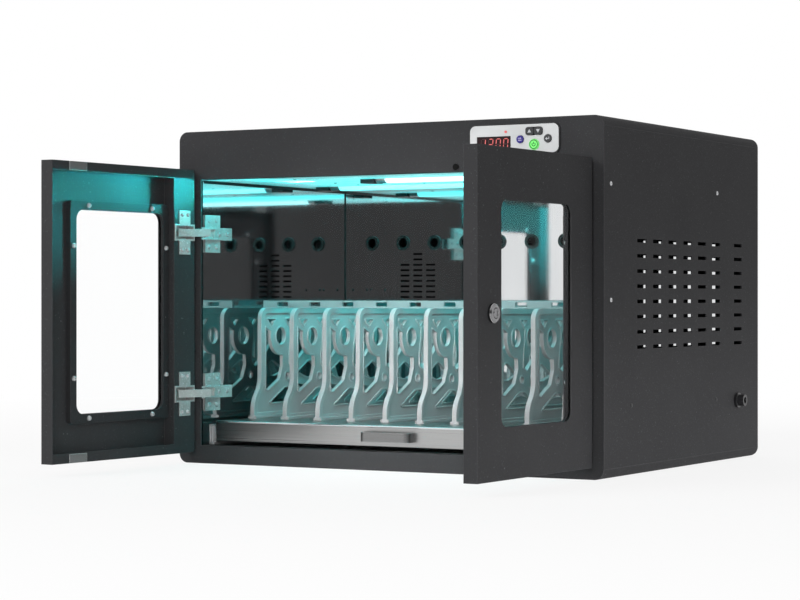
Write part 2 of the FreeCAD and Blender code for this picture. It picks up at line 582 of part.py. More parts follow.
def slab(face, thickness):
    """A face in the plane of the divider, given a thickness about that plane."""
    solid = face.extrude(Vector(thickness, 0, 0))
    solid.translate(Vector(-thickness / 2, 0, 0))
    return solid


def divider_gaps():
    """The faces of a divider's openings, in its own plane."""
    inset = size.divider_rim_width
    length, tall = size.divider_length - 2 * inset, size.divider_height - 2 * inset

    def spot(share, behind):
        along = 1 - share[0] if behind else share[0]
        return Vector(0, size.divider_toe + inset + along * length, inset + share[1] * tall)

    def disc(share, radius_share, behind):
        circle = Part.makeCircle(radius_share * tall, spot(share, behind), X_AXIS)
        return Part.Face(Part.Wire(circle))

    def polygon(shares, behind):
        corners = [spot(share, behind) for share in shares]
        return Part.Face(Part.makePolygon(corners + corners[:1]))

    gaps = [polygon(shares, False) for shares in MIDDLE_GAPS]
    for behind in (False, True):
        ring = disc(RING, RING_SHARE, behind)
        gaps += [face for shares in FRONT_GAPS for face in polygon(shares, behind).cut(ring).Faces]
        gaps += [disc(RING, RING_HOLE_SHARE, behind), disc(HUB_HOLE, HUB_HOLE_SHARE, behind)]
    return gaps


def divider_shape():
    """A lattice web in a thick rim. A raised bead runs round each opening."""
    inset = size.divider_rim_width
    rim = slab(divider_outline(0), size.divider_rim).cut(slab(divider_outline(inset), size.divider_rim * 2))
    web = slab(divider_outline(inset / 2), size.divider_web)
    gaps = divider_gaps()
    beads = [slab(gap.makeOffset2D(size.divider_bead), size.divider_bead_thick) for gap in gaps]
    holes = [slab(gap, 2 * size.divider_rim) for gap in gaps]
    foot = Part.makeBox(size.divider_foot, size.divider_length + size.divider_toe, size.divider_foot_height,
                        Vector(-size.divider_foot / 2, 0, 0))
    return rim.multiFuse([web, foot, *beads]).cut(holes).removeSplitter()


divider_solid = divider_shape()
dividers = []
for i in range(bay_count + 1):
    divider = drawn(f"divider_{i}", divider_solid.copy())
    place(divider, f"({i} - bays / 2) * bay_pitch", f"{FRONT} + divider_front", "tray_top")
    dividers.append(divider)
node("dividers", dividers)

TIE_Y = f"{FRONT} + divider_front + divider_toe + tie_inset"
TIE_LOW = "tray_top + divider_height"
tie_bar = block("tie_bar_strip", centred("0", "bays * bay_pitch + 2 * tie_overhang"),
                (TIE_Y, f"{TIE_Y} + tie_sheet"), (TIE_LOW, f"{TIE_LOW} + tie_height"))
tie_holes = [block(f"tie_hole_{i}", centred(x, "tie_hole_length"),
                   (f"{TIE_Y} - cut_overrun", f"{TIE_Y} + tie_sheet + cut_overrun"),
                   centred(f"{TIE_LOW} + tie_height / 2", "tie_hole_height"))
             for i, x in enumerate(BAY_CENTRES)]
node("tie_bar", cut("tie_bar_cut", tie_bar, tie_holes))

# Doors, drawn shut on the left side. The right one is their mirror image

DOOR_HINGE = "-door_meeting_gap / 2 - door_width"
DOOR_FREE = "-door_meeting_gap / 2"
DOOR_IN = f"{FRONT} - door_gap"
DOOR_OUT = f"{DOOR_IN} - door_thick"
SKIN_IN = f"{DOOR_OUT} + door_sheet"
LIP_OUT = f"{DOOR_IN} - door_sheet"
DOOR_MIDDLE = f"({DOOR_HINGE} + {DOOR_FREE}) / 2"
WINDOW_X = DOOR_MIDDLE
WINDOW_MIDDLE = "(door_low + door_high) / 2"
CUPS = {"low": "hinge_low", "high": "hinge_high"}
CUP_MIDDLE = f"{DOOR_HINGE} + cup_edge + cup_length / 2"


def door_panel(name, with_lock):
    hull = block(name + "_hull", (DOOR_HINGE, DOOR_FREE), (DOOR_OUT, DOOR_IN), ("door_low", "door_high"))
    inside_x = (f"{DOOR_HINGE} + door_stile", f"{DOOR_FREE} - door_sheet")
    inside_z = ("door_low + door_sheet", "door_high - door_sheet")
    pan = block(name + "_pan", inside_x, (SKIN_IN, LIP_OUT), inside_z)
    mouth = block(name + "_mouth", inside_x, (LIP_OUT, f"{DOOR_IN} + cut_overrun"),
                  ("door_low + door_lip", "door_high - door_lip"))
    stile_x = (f"{DOOR_HINGE} + door_sheet", f"{DOOR_HINGE} + door_stile - door_sheet")
    stile = block(name + "_stile", stile_x, (SKIN_IN, LIP_OUT), inside_z)
    through_skin = (f"{DOOR_OUT} - cut_overrun", f"{SKIN_IN} + cut_overrun")
    window = block(name + "_window_box", centred(WINDOW_X, "window_width"), through_skin,
                   centred(WINDOW_MIDDLE, "window_height"))
    cuts = [pan, mouth, stile, rounded(name + "_window", window, size.window_radius, "y")]
    for end, height in CUPS.items():
        cuts.append(block(f"{name}_cup_{end}", centred(CUP_MIDDLE, "cup_length + 2 * cup_wall"),
                          (LIP_OUT, f"{DOOR_IN} + cut_overrun"),
                          centred(height, "cup_height + 2 * cup_wall")))
    if with_lock:
        cuts.append(rod(name + "_lock_hole", "lock_barrel_radius", f"{DOOR_FREE} - lock_inset",
                        through_skin, "lock_height"))
    return cut(name, hull, joined(name + "_cuts", cuts))


def window_pieces(name):
    """The pane, its retaining frame and the heads of the frame's screws."""
    pane_out, frame_out = f"{SKIN_IN} + pane", f"{SKIN_IN} + frame_thick"
    wide, tall = "window_width + 2 * pane_overlap", "window_height + 2 * pane_overlap"
    pane = block(name + "_pane", centred(WINDOW_X, wide), (SKIN_IN, pane_out), centred(WINDOW_MIDDLE, tall))
    plate = block(name + "_plate_box", centred(WINDOW_X, "frame_width"), (SKIN_IN, frame_out),
                  centred(WINDOW_MIDDLE, "frame_height"))
    pocket = block(name + "_pocket", centred(WINDOW_X, wide + " + 2 * pane_gap"),
                   (f"{SKIN_IN} - cut_overrun", pane_out), centred(WINDOW_MIDDLE, tall + " + 2 * pane_gap"))
    sight = block(name + "_sight_box", centred(WINDOW_X, "window_width"),
                  (f"{SKIN_IN} - cut_overrun", f"{frame_out} + cut_overrun"),
                  centred(WINDOW_MIDDLE, "window_height"))
    sight = rounded(name + "_sight", sight, size.window_radius, "y")
    frame = cut(name + "_frame", rounded(name + "_plate", plate, size.frame_radius, "y"),
                joined(name + "_frame_cuts", [pocket, sight]))
    screws = []
    for sx in (-1, 1):
        for sz in (-1, 1):
            side = (f"{sx} * (frame_width / 2 - screw_inset)",
                    f"{sz} * (frame_height / 2 - screw_from_corner_z)")
            end = (f"{sx} * (frame_width / 2 - screw_from_corner_x)",
                   f"{sz} * (frame_height / 2 - screw_inset)")
            for k, (x, z) in enumerate((side, end)):
                screws.append(rod(f"{name}_screw_{sx + 1}_{sz + 1}_{k}", "screw_radius", f"{WINDOW_X} + {x}",
                                  (frame_out, f"{frame_out} + screw_head"), f"{WINDOW_MIDDLE} + {z}"))
    return pane, frame, screws


def strike_plates(name):
    span = (f"{DOOR_FREE} - strike_inset - strike_length", f"{DOOR_FREE} - strike_inset")
    face = (DOOR_IN, f"{DOOR_IN} + strike_sheet")
    return [block(name + "_high", span, face, ("door_high - strike_height", "door_high")),
            block(name + "_low", span, face, ("door_low", "door_low + strike_height"))]


def hinge_cup(name, height):
    """The pot that is set in the door's stile, with the flange that is screwed to it."""
    flange = (DOOR_IN, f"{DOOR_IN} + cup_plate_sheet")
    pieces = [
        block(name + "_pot", centred(CUP_MIDDLE, "cup_length + 2 * cup_wall"),
              (f"{DOOR_IN} - cup_depth", DOOR_IN), centred(height, "cup_height + 2 * cup_wall")),
        block(name + "_ears", centred(CUP_MIDDLE, "cup_plate_waist"), flange,
              centred(height, "cup_plate_height")),
        block(name + "_rim", centred(CUP_MIDDLE, "cup_length + 2 * cup_rim"), flange,
              centred(height, "cup_height + 2 * cup_rim"))]
    hollow = block(name + "_hollow", centred(CUP_MIDDLE, "cup_length"),
                   (f"{DOOR_IN} - cup_depth + cup_wall", f"{DOOR_IN} + cut_overrun"),
                   centred(height, "cup_height"))
    return cut(name, joined(name + "_whole", pieces), hollow)


# Concealed hinges. A door turns about one pivot; the link turns in step about its pin on the arm

PIVOT = (-size.door_meeting_gap / 2 - size.door_width - size.pivot_edge,
         -size.depth / 2 - size.door_gap - size.pivot_depth)
ARM_PIN = (PIVOT[0] - size.arm_pin_out, PIVOT[1] + size.arm_pin_back)
CRANK = (PIVOT[0] + size.crank_in, PIVOT[1] + size.crank_back)
CUP_PIN = (PIVOT[0] + size.cup_pin_in, PIVOT[1] - size.cup_pin_out)
ARM_IN = -size.liner_width / 2 + size.plate_sheet
ARM_MIDDLE = ARM_IN + size.arm_sheet / 2


def hinge_link(height):
    low, high = height - size.link_height / 2, height + size.link_height / 2
    bar = ribbon([ARM_PIN, CRANK, CUP_PIN], size.link_sheet, low, high)
    knuckle = Part.makeCylinder(size.knuckle_radius, size.link_height, Vector(*ARM_PIN, low))
    tip = Part.makeCylinder(size.link_sheet / 2, size.link_height, Vector(*CUP_PIN, low))
    bore = Part.makeCylinder(size.hinge_pin_radius + size.pin_gap, size.link_height, Vector(*ARM_PIN, low))
    return bar.multiFuse([knuckle, tip]).cut(bore).removeSplitter()


def hinge_arm(height):
    """The mounting plate on the liner, the arm on it and the two ears that carry the link's pin."""
    front = -size.depth / 2
    inner = -size.liner_width / 2
    plate_y = front + size.plate_start
    plate = Part.makeBox(size.plate_sheet, size.plate_length, size.plate_height,
                         Vector(inner, plate_y, height - size.plate_height / 2))
    arm_height = size.link_height + 2 * (size.ear_gap + size.ear_sheet)
    arm = Part.makeBox(size.arm_sheet, size.arm_length, arm_height,
                       Vector(ARM_IN, front + size.arm_start, height - arm_height / 2))
    pieces = [arm]
    bend = (ARM_MIDDLE, ARM_PIN[1] + size.ear_run)
    tail = (ARM_MIDDLE, front + size.arm_start + size.ear_width)
    for base in (height - arm_height / 2, height + arm_height / 2 - size.ear_sheet):
        pieces.append(ribbon([ARM_PIN, bend, tail], size.ear_width, base, base + size.ear_sheet))
        pieces.append(Part.makeCylinder(size.knuckle_radius, size.ear_sheet, Vector(*ARM_PIN, base)))
    pin = Vector(*ARM_PIN, height - arm_height / 2)
    pieces.append(Part.makeCylinder(size.hinge_pin_radius, arm_height, pin))
    return plate.multiFuse(pieces).removeSplitter()


HEIGHTS = [size.hinge_low, size.hinge_high]
left_arms = [drawn(f"left_arm_{i}", hinge_arm(z)) for i, z in enumerate(HEIGHTS)]
left_links = [drawn(f"left_link_{i}", hinge_link(z)) for i, z in enumerate(HEIGHTS)]
node("left_hinge_arms", left_arms)
node("right_hinge_arms", [mirrored(f"right_arm_{i}", arm) for i, arm in enumerate(left_arms)])

left_turn = (-size.left_open_deg, *PIVOT)
right_turn = (size.right_open_deg, -PIVOT[0], PIVOT[1])
left_link_turn = (-size.left_open_deg * size.link_turn_share, *ARM_PIN)
right_link_turn = (size.right_open_deg * size.link_turn_share, -ARM_PIN[0], ARM_PIN[1])
node("left_hinge_links", left_links, left_link_turn)
right_links = [mirrored(f"right_link_{i}", link) for i, link in enumerate(left_links)]
node("right_hinge_links", right_links, right_link_turn)

cups = [hinge_cup(f"cup_{end}", height) for end, height in CUPS.items()]
pane, window_frame, window_screws = window_pieces("window")
strikes = strike_plates("strike")
node("left_door_panel", door_panel("left_door", False), left_turn)
node("right_door_panel", mirrored("right_door_mirror", door_panel("right_door", True)), right_turn)
for label, pieces in (("hinge_cups", cups), ("window_pane", [pane]), ("window_frame", [window_frame]),
                      ("window_screws", window_screws), ("strike_plates", strikes)):
    node("left_" + label, pieces, left_turn)
    twins = [mirrored(f"right_{label}_{i}", piece) for i, piece in enumerate(pieces)]
    node("right_" + label, twins, right_turn)

# Key lock in the right door, drawn shut, with its cam hanging down

LOCK_X = "door_meeting_gap / 2 + lock_inset"
COLLAR_FACE = f"{DOOR_OUT} - lock_collar"
CORE_FACE = f"{COLLAR_FACE} - lock_core_proud"
CAM = (f"{DOOR_IN} + cam_behind", f"{DOOR_IN} + cam_behind + cam_sheet")


def lock_rod(name, radius, y):
    return rod(name, radius, LOCK_X, y, "lock_height")


barrel = joined("lock_barrel_whole", [
    lock_rod("lock_collar", "lock_collar_radius", (COLLAR_FACE, DOOR_OUT)),
    lock_rod("lock_barrel", "lock_barrel_radius", (DOOR_OUT, f"{DOOR_IN} - lock_barrel_gap"))])
core_hole = lock_rod("lock_core_hole", "lock_core_radius + lock_barrel_gap",
                     (f"{COLLAR_FACE} - cut_overrun", f"{DOOR_IN} + cut_overrun"))
node("lock_body", cut("lock_body_cut", barrel, core_hole), right_turn)
key_slot = block("key_slot", centred(LOCK_X, "key_slot_width"),
                 (f"{CORE_FACE} - cut_overrun", f"{CORE_FACE} + key_slot_depth"),
                 centred("lock_height", "key_slot_length"))
core = lock_rod("lock_core_rod", "lock_core_radius", (CORE_FACE, CAM[0]))
node("lock_core", cut("lock_core_cut", core, key_slot), right_turn)
blade = block("lock_cam_blade", centred(LOCK_X, "cam_width"), CAM,
              ("lock_height - cam_length", "lock_height"))
cam_head = lock_rod("lock_cam_head", "cam_width / 2", CAM)
node("lock_cam", joined("lock_cam_whole", [cam_head, blade]), right_turn)

# Control panel

PANEL_OUT = f"{FRONT} - panel_sheet"
PANEL_CUT = (f"{PANEL_OUT} - cut_overrun", f"{FRONT} + cut_overrun")
DISPLAY_X = ("display_left", "display_left + display_width")
DISPLAY_Z = ("display_low", "display_low + display_height")
panel_block = block("panel_block", ("panel_left", "panel_left + panel_width"), (PANEL_OUT, FRONT),
                    ("panel_low", "panel_low + panel_height"))
display_hole = block("display_hole", DISPLAY_X, PANEL_CUT, DISPLAY_Z)
led_hole = rod("led_hole", "led_radius", "led_x", PANEL_CUT, "led_height")
node("control_panel", cut("panel_cut", rounded("panel_round", panel_block, size.panel_radius, "y"),
                          [display_hole, led_hole, *control_holes("panel_hole")]))
node("display_lens", block("display_lens_block", DISPLAY_X, (f"{FRONT} - display_lens", FRONT), DISPLAY_Z))
LED_Y = (f"{PANEL_OUT} - display_lens", FRONT)
node("status_led", rod("led_rod", "led_radius", "led_x", LED_Y, "led_height"))

BUTTON_OUT = f"{PANEL_OUT} - button_proud"
BUTTON_BACK = f"{SHELL_FRONT} + button_back"
for label, (x, z, radius) in BUTTONS.items():
    node(label, rod(label + "_rod", radius, x, (BUTTON_OUT, BUTTON_BACK), z))
for label, span in ARROWS.items():
    key = block(label + "_block", span, (BUTTON_OUT, BUTTON_BACK), centred("arrow_height", "arrow_tall"))
    node(label, rounded(label + "_round", key, size.arrow_radius, "y"))

BOARD_FRONT = f"{SHELL_FRONT} + board_back"
board_middle = ("panel_left + panel_width / 2", "panel_low + panel_height / 2")
board = [block("board_sheet_block", centred(board_middle[0], "board_width"),
               (BOARD_FRONT, f"{BOARD_FRONT} + board_sheet"), centred(board_middle[1], "board_height"))]
switch_front = f"{BUTTON_BACK} + button_travel + switch_gap"
switch_places = [(x, z) for x, z, _ in BUTTONS.values()]
switch_places += [(f"({a} + {b}) / 2", "arrow_height") for a, b in ARROWS.values()]
board += [block(f"switch_{i}", centred(x, "switch_side"), (switch_front, BOARD_FRONT),
                centred(z, "switch_side"))
          for i, (x, z) in enumerate(switch_places)]
node("control_board", joined("control_board_whole", board))
standoffs = []
for sx in (-1, 1):
    for sz in (-1, 1):
        x = f"{board_middle[0]} + {sx} * (board_width / 2 - standoff_inset)"
        z = f"{board_middle[1]} + {sz} * (board_height / 2 - standoff_inset)"
        standoffs.append(rod(f"standoff_{sx + 1}_{sz + 1}", "standoff_radius", x,
                             (SHELL_FRONT, BOARD_FRONT), z))
node("board_standoffs", standoffs)

# Checks, then one file for each sub-part

doc.recompute()
faults = [obj.Label for obj in doc.Objects if {"Invalid", "Error"} & set(obj.State)]
faults += [obj.Label for obj in NODES
           if obj.Shape.isNull() or not obj.Shape.isValid() or not obj.Shape.Solids]
if faults:
    raise SystemExit("these came out wrong: " + ", ".join(faults))
os.makedirs("parts", exist_ok=True)
for obj in NODES:
    obj.Shape.exportStep(os.path.join("parts", obj.Label + ".step"))
    print(f"{obj.Label}: {len(obj.Shape.Solids)} solids, {obj.Shape.Volume / 1000:.1f} cm3")
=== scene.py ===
"""Looks of the ultraviolet charging station: finishes, fasteners, signs, studio and camera."""

import json
import math

import bmesh
import bpy
from mathutils import Euler, Matrix, Vector

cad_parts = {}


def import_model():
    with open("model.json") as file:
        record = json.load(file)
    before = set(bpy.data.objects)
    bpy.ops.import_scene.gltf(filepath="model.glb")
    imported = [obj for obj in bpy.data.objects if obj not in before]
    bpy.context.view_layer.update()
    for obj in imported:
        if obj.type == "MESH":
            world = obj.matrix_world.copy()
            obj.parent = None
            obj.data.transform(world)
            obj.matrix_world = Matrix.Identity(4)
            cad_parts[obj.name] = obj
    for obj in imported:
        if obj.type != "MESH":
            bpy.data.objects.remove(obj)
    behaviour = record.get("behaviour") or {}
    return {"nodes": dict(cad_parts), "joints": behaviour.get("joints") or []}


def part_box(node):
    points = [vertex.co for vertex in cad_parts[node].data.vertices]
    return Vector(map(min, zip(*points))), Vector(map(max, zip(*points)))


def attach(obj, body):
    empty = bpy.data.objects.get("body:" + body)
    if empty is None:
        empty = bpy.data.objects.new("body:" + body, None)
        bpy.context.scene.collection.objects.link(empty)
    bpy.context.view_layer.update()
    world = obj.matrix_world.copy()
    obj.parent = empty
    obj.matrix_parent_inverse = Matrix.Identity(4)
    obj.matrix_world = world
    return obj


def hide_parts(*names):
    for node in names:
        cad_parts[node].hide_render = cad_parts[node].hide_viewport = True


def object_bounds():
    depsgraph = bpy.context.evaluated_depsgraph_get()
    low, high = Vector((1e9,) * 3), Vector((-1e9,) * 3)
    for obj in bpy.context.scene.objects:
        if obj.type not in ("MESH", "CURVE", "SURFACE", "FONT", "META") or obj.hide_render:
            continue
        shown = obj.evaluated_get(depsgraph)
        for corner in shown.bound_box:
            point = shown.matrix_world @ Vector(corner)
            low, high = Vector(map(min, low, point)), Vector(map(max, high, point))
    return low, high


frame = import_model()
CAD_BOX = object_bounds()
NODES = frame["nodes"]
JOINTS = {joint["name"]: joint for joint in frame["joints"]}
MM = 0.001

# Faces and centres of the part, in millimetres. The doors' are those of the shut doors
SIDE_FACE, REAR_FACE, FRONT_FACE = 247.5, 201, -201
LINER_FACE, CEILING_FACE, PARTITION_FACE = 232, 299.5, 112
HINGE_HEIGHTS = (74.0, 243.0)
WINDOW_X, WINDOW_Z = -113.5, 160.6
WINDOW_TRIM_FACE, HINGE_CUP_FACE = -210.3, -202.5
LOCK_X, LOCK_Z = 28, 161


class Wiring:
    """A node tree in the making."""

    def __init__(self, tree):
        self.tree = tree

    def wire(self, node, inputs):
        for socket, value in inputs.items():
            if isinstance(value, bpy.types.NodeSocket):
                self.tree.links.new(value, node.inputs[socket])
            else:
                node.inputs[socket].default_value = value

    def node(self, kind, inputs=None, **settings):
        made = self.tree.nodes.new(kind)
        for key, value in settings.items():
            setattr(made, key, value)
        self.wire(made, inputs or {})
        return made

    def combine(self, kind, one, other):
        return self.node("ShaderNodeMath", {0: one, 1: other}, operation=kind).outputs[0]

    def product(self, one, other):
        return self.combine("MULTIPLY", one, other)

    def dot(self, one, other):
        made = self.node("ShaderNodeVectorMath", {0: one, 1: other}, operation="DOT_PRODUCT")
        return made.outputs["Value"]

    def vector(self, **axes):
        return self.node("ShaderNodeCombineXYZ", axes).outputs[0]

    def axes(self, vector):
        return self.node("ShaderNodeSeparateXYZ", {0: vector}).outputs


# Finishes. Each pattern reads Object coordinates, in metres

class Finish(Wiring):
    """A material in the making: its shader, and helpers for the nodes that give it grain."""

    def __init__(self, name, colour, roughness, **sockets):
        self.material = bpy.data.materials.new(name)
        self.material.use_nodes = True
        super().__init__(self.material.node_tree)
        self.shader = self.tree.nodes["Principled BSDF"]
        self.place = self.node("ShaderNodeTexCoord").outputs["Object"]
        self.wire(self.shader, {"Base Color": (*colour, 1), "Roughness": roughness})
        self.finish(**sockets)

    def stretched(self, scale):
        return self.node("ShaderNodeMapping", {"Vector": self.place, "Scale": scale}).outputs["Vector"]

    def noise(self, per_metre, detail=2.0, vector=None):
        inputs = {"Vector": vector or self.place, "Scale": per_metre, "Detail": detail}
        return self.node("ShaderNodeTexNoise", inputs).outputs[0]

    def cells(self, per_metre):
        return self.node("ShaderNodeTexVoronoi", {"Vector": self.place, "Scale": per_metre})

    def band(self, value, low, high, start=0.0, end=1.0):
        """The value between low and high, spread over start to end."""
        inputs = {"Value": value, "From Min": low, "From Max": high, "To Min": start, "To Max": end}
        return self.node("ShaderNodeMapRange", inputs).outputs["Result"]

    def shades(self, share, dark, light):
        """Dark where share is 0, light where it is 1. Either may be a colour or a socket."""
        ends = [end if isinstance(end, bpy.types.NodeSocket) else (*end, 1) for end in (dark, light)]
        return self.node("ShaderNodeMix", {0: share, 6: ends[0], 7: ends[1]}, data_type="RGBA").outputs[2]

    def flecks(self, per_metre, rare, size):
        """1 on scattered round flecks. The rarer they are, the fewer cells have one."""
        cells = self.cells(per_metre)
        chosen = self.band(cells.outputs["Color"], rare, rare + 0.08)
        return self.product(chosen, self.band(cells.outputs["Distance"], size, size * 0.4))

    def edge(self, radius):
        """The normal as if every edge were rounded, and how near an edge is."""
        soft = self.node("ShaderNodeBevel", {"Radius": radius}, samples=6).outputs["Normal"]
        true = self.node("ShaderNodeNewGeometry").outputs["Normal"]
        return soft, self.band(self.dot(soft, true), 0.995, 0.85)

    def bump(self, height, strength, depth, normal=None):
        inputs = {"Height": height, "Strength": strength, "Distance": depth}
        if normal:
            inputs["Normal"] = normal
        return self.node("ShaderNodeBump", inputs).outputs["Normal"]

    def finish(self, **sockets):
        self.wire(self.shader, {key.replace("_", " "): value for key, value in sockets.items()})
        return self.material


def powder_coat(name, dark, light, grain):
    """Charcoal coat with an orange-peel skin and pale flecks, rubbed paler on its edges."""
    coat = Finish(name, light, 0.7, Specular_IOR_Level=0.08)
    soft, rim = coat.edge(0.9 * MM)
    tone = coat.shades(coat.noise(grain, 3), dark, light)
    tone = coat.shades(coat.band(coat.noise(11), 0.3, 0.7, 0.0, 0.5), tone, dark)
    tone = coat.shades(coat.flecks(grain, 0.84, 0.5), tone, (0.14, 0.15, 0.155))
    tone = coat.shades(coat.flecks(grain / 2.5, 0.9, 0.4), tone, (0.2, 0.21, 0.215))
    tone = coat.shades(coat.product(rim, coat.noise(160)), tone, (0.12, 0.12, 0.125))
    peel = coat.bump(coat.noise(grain, 3), 0.1, 0.2 * MM, soft)
    rough = coat.band(coat.noise(grain / 2), 0.3, 0.7, 0.62, 0.78)
    return coat.finish(Base_Color=tone, Roughness=rough, Normal=peel)


def polished_steel():
    """Mirror sheet with a faint upright polish."""
    sheet = Finish("polished_steel", (0.74, 0.75, 0.76), 0.04, Metallic=1.0)
    polish = sheet.noise(1.0, 3, sheet.stretched((900, 900, 12)))
    tone = sheet.shades(sheet.noise(16), (0.68, 0.69, 0.70), (0.78, 0.79, 0.80))
    rough = sheet.band(polish, 0.3, 0.7, 0.02, 0.06)
    return sheet.finish(Base_Color=tone, Roughness=rough, Normal=sheet.bump(polish, 0.006, 0.02 * MM))


def brushed_steel(name, dark, light, metal=1.0):
    """Sheet brushed from side to side."""
    sheet = Finish(name, light, 0.25, Metallic=metal)
    soft, rim = sheet.edge(0.7 * MM)
    strokes = sheet.noise(1.0, 4, sheet.stretched((4, 2600, 2600)))
    tone = sheet.shades(sheet.band(strokes, 0.3, 0.7), dark, light)
    # Paler near edges: a painted highlight along them
    tone = sheet.shades(rim, tone, (0.8, 0.8, 0.8))
    rough = sheet.band(strokes, 0.3, 0.7, 0.26, 0.34)
    return sheet.finish(Base_Color=tone, Roughness=rough, Normal=sheet.bump(strokes, 0.02, 0.03 * MM, soft))


def reflector():
    """Bright sheet that throws the lamps' light down. Its cyan tint is painted lamp light."""
    sheet = Finish("reflector", (0.8, 0.85, 0.86), 0.3)
    rolled = sheet.noise(1.0, 3, sheet.stretched((6, 400, 400)))
    # Cyan base colour: the UV lamps' light painted into the sheet
    tone = sheet.shades(rolled, (0.56, 0.80, 0.81), (0.66, 0.89, 0.90))
    return sheet.finish(Base_Color=tone, Roughness=sheet.band(rolled, 0.3, 0.7, 0.22, 0.4))


def lamp_glass():
    """Lit tubes, cloudy along their length. The front one burns whiter."""
    tube = Finish("lamp_glass", (0.85, 0.95, 1.0), 0.12, Emission_Strength=1.0)
    cloud = tube.noise(1.0, 2, tube.stretched((25, 120, 120)))
    back = tube.band(tube.axes(tube.place)["Y"], -0.06, 0.0)
    hot = tube.shades(tube.band(cloud, 0.3, 0.7), (0.75, 1.0, 1.0), (0.95, 1.0, 1.0))
    glow = tube.shades(back, hot, (0.16, 0.82, 0.84))
    glass = tube.shades(cloud, (0.78, 0.9, 0.95), (0.9, 0.98, 1.0))
    return tube.finish(Emission_Color=glow, Base_Color=glass)


def plated(name, dark, light, rough, shine=1.0):
    """Plated metal with hair-fine scratches, and a painted highlight along its edges."""
    metal = Finish(name, light, rough, Metallic=shine)
    soft, rim = metal.edge(0.4 * MM)
    scratches = metal.noise(1.0, 3, metal.stretched((5000, 700, 700)))
    tone = metal.shades(metal.band(metal.noise(90), 0.3, 0.7), dark, light)
    # Paler near edges: a painted highlight
    tone = metal.shades(rim, tone, (0.9, 0.9, 0.9))
    worn = metal.band(scratches, 0.3, 0.7, rough * 0.8, rough * 1.3)
    return metal.finish(Base_Color=tone, Roughness=worn, Normal=metal.bump(scratches, 0.02, 0.01 * MM, soft))


def zinc_steel():
    """Bright zinc plating with a faint spangle."""
    metal = Finish("zinc_steel", (0.6, 0.61, 0.62), 0.25, Metallic=0.55)
    soft, rim = metal.edge(0.5 * MM)
    spangle = metal.cells(220).outputs["Color"]
    tone = metal.shades(spangle, (0.54, 0.55, 0.56), (0.64, 0.65, 0.66))
    # Paler near edges: a painted highlight along them
    tone = metal.shades(rim, tone, (0.8, 0.81, 0.82))
    return metal.finish(Base_Color=tone, Roughness=metal.band(spangle, 0.0, 1.0, 0.18, 0.28), Normal=soft)


def moulded(name, dark, light, rough, grain=1200, radius=0.5 * MM, **sockets):
    """Moulded plastic or rubber with a spark-eroded skin."""
    plastic = Finish(name, light, rough, **sockets)
    soft, rim = plastic.edge(radius)
    skin = plastic.noise(grain, 3)
    tone = plastic.shades(plastic.band(plastic.noise(35), 0.3, 0.7), dark, light)
    tone = plastic.shades(plastic.band(skin, 0.35, 0.75, 0.0, 0.3), tone, dark)
    worn = tuple(min(1.0, 1.25 * channel + 0.01) for channel in light)
    return plastic.finish(Base_Color=plastic.shades(rim, tone, worn),
                          Roughness=plastic.band(skin, 0.3, 0.7, rough * 0.85, rough * 1.15),
                          Normal=plastic.bump(skin, 0.12, 0.08 * MM, soft))


def window_sheet():
    """Clear sheet with the faintest ripple."""
    sheet = Finish("window", (0.985, 0.99, 0.99), 0.0, Transmission_Weight=1.0, IOR=1.06)
    return sheet.finish(Roughness=sheet.band(sheet.noise(14, 1), 0.3, 0.7, 0.0, 0.003))


def display_lens():
    """Near-black lens with the faint bands of the module behind it."""
    lens = Finish("display", (0.012, 0.008, 0.009), 0.3, Specular_IOR_Level=0.12)
    bands = lens.noise(1.0, 1, lens.stretched((60, 60, 2200)))
    return lens.finish(Base_Color=lens.shades(bands, (0.016, 0.010, 0.011), (0.040, 0.020, 0.022)))


def lit(name, dim, bright, strength):
    """A lamp behind a moulded cap."""
    cap = Finish(name, bright, 0.25, Emission_Strength=strength)
    glow = cap.shades(cap.noise(900), dim, bright)
    return cap.finish(Base_Color=glow, Emission_Color=glow)


def circuit_board():
    """Green laminate with copper tracks under it."""
    board = Finish("circuit_board", (0.02, 0.16, 0.07), 0.35)
    inputs = {"Vector": board.place, "Scale": 90.0, "Mortar Size": 0.03}
    tracks = board.node("ShaderNodeTexBrick", inputs).outputs["Fac"]
    tone = board.shades(tracks, (0.012, 0.11, 0.045), (0.06, 0.28, 0.10))
    return board.finish(Base_Color=tone, Normal=board.bump(tracks, 0.2, 0.05 * MM))


